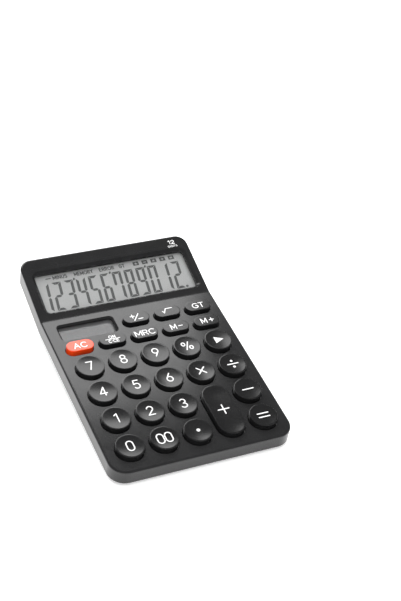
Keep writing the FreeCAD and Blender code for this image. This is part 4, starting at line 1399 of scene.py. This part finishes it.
    def build(self) -> None:
        """Lays the print and the painted shade border on the glass, and the mark on the case, as thin pieces."""
        on_glass = self.plane()
        on_case = on_glass @ Matrix.Translation(OUTWARDS * self.glass_depth)
        for name, ink, place, shapes, cuts in (
            ("lcd_figures", SEGMENT_INK, on_glass, self.figures(), ()),
            ("lcd_words", SEGMENT_INK, on_glass, self.words(), ()),
            ("lcd_boxes", SEGMENT_INK, on_glass, *self.boxes()),
            ("lcd_shade_border", SHADE_BORDER_INK, on_glass, *self.border()),
            ("case_mark", LEGEND_INK, on_case, self.mark(), ()),
        ):
            bm = bmesh.new()
            print_outlines(bm, shapes, cuts)
            lay_print(bm, self.print_cell, lambda spot: 0.0)
            bm.transform(place)
            new_piece(name, bm, ink, HOUSING)


@dataclass
class DisplayTrim:
    """The bevelled frame that lines the case's display opening."""

    place: Matrix
    left: float = -43.0 * MM
    right: float = 44.2 * MM
    low: float = -13.5 * MM
    top: float = 12.0 * MM
    corner: float = 2.4 * MM
    bevel: float = 1.45 * MM
    hole_wide: float = 89.3 * MM
    hole_high: float = 27.1 * MM
    hole_corner: float = 2.45 * MM
    hole_bevel: float = 1.5 * MM
    foot: float = 0.95 * MM
    face: float = 3.88 * MM

    def loops(self) -> list[tuple[Outline, float]]:
        """Lists the frame's section, from the inner foot over the face to the outer foot.

        Returns:
            Pairs of an outline and its height over the display glass.
        """
        x, y = (self.left + self.right) / 2, (self.low + self.top) / 2
        wide, high = self.right - self.left, self.top - self.low
        inner = oblong(x, y, wide, high, self.corner)
        slope = 2 * self.bevel
        brow = oblong(x, y, wide + slope, high + slope, self.corner + self.bevel)
        wide, high, corner = self.hole_wide, self.hole_high, self.hole_corner
        hole = oblong(0.0, 0.0, wide, high, corner)
        slope = 2 * self.hole_bevel
        outer = oblong(0.0, 0.0, wide + slope, high + slope, corner + self.hole_bevel)
        return [
            (inner, self.foot),
            (inner, self.face - self.bevel),
            (brow, self.face),
            (outer, self.face),
            (hole, self.face - self.hole_bevel),
            (hole, self.foot),
        ]

    def build(self) -> None:
        """Makes the frame."""
        bm = bmesh.new()
        loops = [
            [bm.verts.new((spot.x, spot.y, height)) for spot in outline]
            for outline, height in self.loops()
        ]
        for first, second in zip(loops, [*loops[1:], loops[0]]):
            for index, corner in enumerate(first):
                bm.faces.new((corner, first[index - 1], second[index - 1], second[index]))
        bm.transform(self.place)
        finish = FINISHES["case_plastic"]
        trim = new_piece("display_trim", bm, finish, HOUSING)


class Carcass:
    """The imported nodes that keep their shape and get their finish."""

    def dress(self) -> None:
        """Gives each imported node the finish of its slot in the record."""
        for part in frame["record"]["subparts"]:
            node = frame["nodes"][part["node"]]
            material = PAINTS.take(FINISHES[part["material_slot"]])
            node.data.materials.clear()
            node.data.materials.append(material)
            LOG.info("node %s wears %s", part["node"], material.name)


def bearing(azimuth: float, elevation: float) -> Vector:
    """Gives the way from the object to a place round it.

    Args:
        azimuth: Degrees from the rear towards the right.
        elevation: Degrees above the table.

    Returns:
        The way, one unit long.
    """
    a, e = math.radians(azimuth), math.radians(elevation)
    return Vector((math.sin(a) * math.cos(e), math.cos(a) * math.cos(e), math.sin(e)))


@dataclass(frozen=True)
class Lamp:
    """One soft oblong lamp that faces the object, with its power in watts."""

    name: str
    azimuth: float
    elevation: float
    far: float
    size: Pair
    power: float
    mirrored: bool = False

    def hang(self) -> None:
        """Hangs the lamp at its place."""
        way = bearing(self.azimuth, self.elevation)
        data = bpy.data.lights.new(self.name, "AREA")
        data.shape = "RECTANGLE"
        data.size, data.size_y = self.size
        data.energy = self.power
        lamp = bpy.data.objects.new(self.name, data)
        lamp.location = way * self.far
        lamp.rotation_mode = "QUATERNION"
        lamp.rotation_quaternion = way.to_track_quat("Z", "Y")
        lamp.visible_glossy = self.mirrored
        bpy.context.scene.collection.objects.link(lamp)


@dataclass
class Studio:
    """Camera, table top and lights. The camera's azimuth counts from the front."""

    stand: tuple[float, float, float] = (-0.23748, -0.46663, 0.45357)
    azimuth: float = -29.379
    elevation: float = 37.500
    roll: float = 8.115
    lens: float = 78.38
    clip_end: float = 50.0
    table_half: float = 4.0
    table_cells: int = 4
    table_drop: float = 0.05 * MM
    room_light: float = 0.22
    lamps: tuple[Lamp, ...] = (
        Lamp("overhead", 0.0, 88.0, 1.6, (2.4, 2.4), 36.0),
        Lamp("rear_card", 0.0, 31.0, 1.5, (1.39, 1.424), 26.0, mirrored=True),
        Lamp("front_fill", 200.0, 22.0, 1.5, (1.2, 0.8), 10.0),
    )

    def camera(self) -> None:
        """Places the camera at the photograph's viewing angle."""
        back = bearing(self.azimuth, self.elevation)
        back.y = -back.y
        turn = Matrix.Rotation(math.radians(self.roll), 3, back)
        right = turn @ OUTWARDS.cross(back).normalized()
        axes = Matrix((right, back.cross(right), back)).transposed().to_4x4()
        data = bpy.data.cameras.new("camera")
        data.lens = self.lens
        data.clip_end = self.clip_end
        camera = bpy.data.objects.new("camera", data)
        camera.matrix_world = Matrix.Translation(self.stand) @ axes
        bpy.context.scene.collection.objects.link(camera)
        bpy.context.scene.camera = camera

    def table(self) -> None:
        """Lays the pale table top under the feet."""
        cells = self.table_cells
        bm = bmesh.new()
        bmesh.ops.create_grid(bm, x_segments=cells, y_segments=cells, size=self.table_half)
        bmesh.ops.translate(bm, verts=bm.verts, vec=(0.0, 0.0, -self.table_drop))
        mesh = bpy.data.meshes.new("table_top")
        bm.to_mesh(mesh)
        bm.free()
        mesh.materials.append(PAINTS.take(TABLE_TOP))
        table = bpy.data.objects.new("table_top", mesh)
        bpy.context.scene.collection.objects.link(table)

    def light(self) -> None:
        """Hangs the lamps and sets the room's own light."""
        for lamp in self.lamps:
            lamp.hang()
        world = bpy.data.worlds.new("room")
        world.use_nodes = True
        grey = (self.room_light, self.room_light, self.room_light, 1.0)
        world.node_tree.nodes["Background"].inputs["Color"].default_value = grey
        bpy.context.scene.world = world
        bpy.context.scene.view_settings.view_transform = "Standard"

    def build(self) -> None:
        """Sets up camera, table and light."""
        self.camera()
        self.table()
        self.light()


def main() -> None:
    """Builds and dresses every sub-assembly in turn."""
    logging.basicConfig(level=logging.INFO, format="%(name)s: %(message)s")
    press = next(joint for joint in frame["joints"] if joint["name"].endswith(PRESS))
    Carcass().dress()
    Keyboard(PanelAxes(Vector(press["axis"]))).build()
    readout = Readout()
    readout.build()
    DisplayTrim(readout.plane()).build()
    Studio().build()


if __name__ == "__main__":
    main()
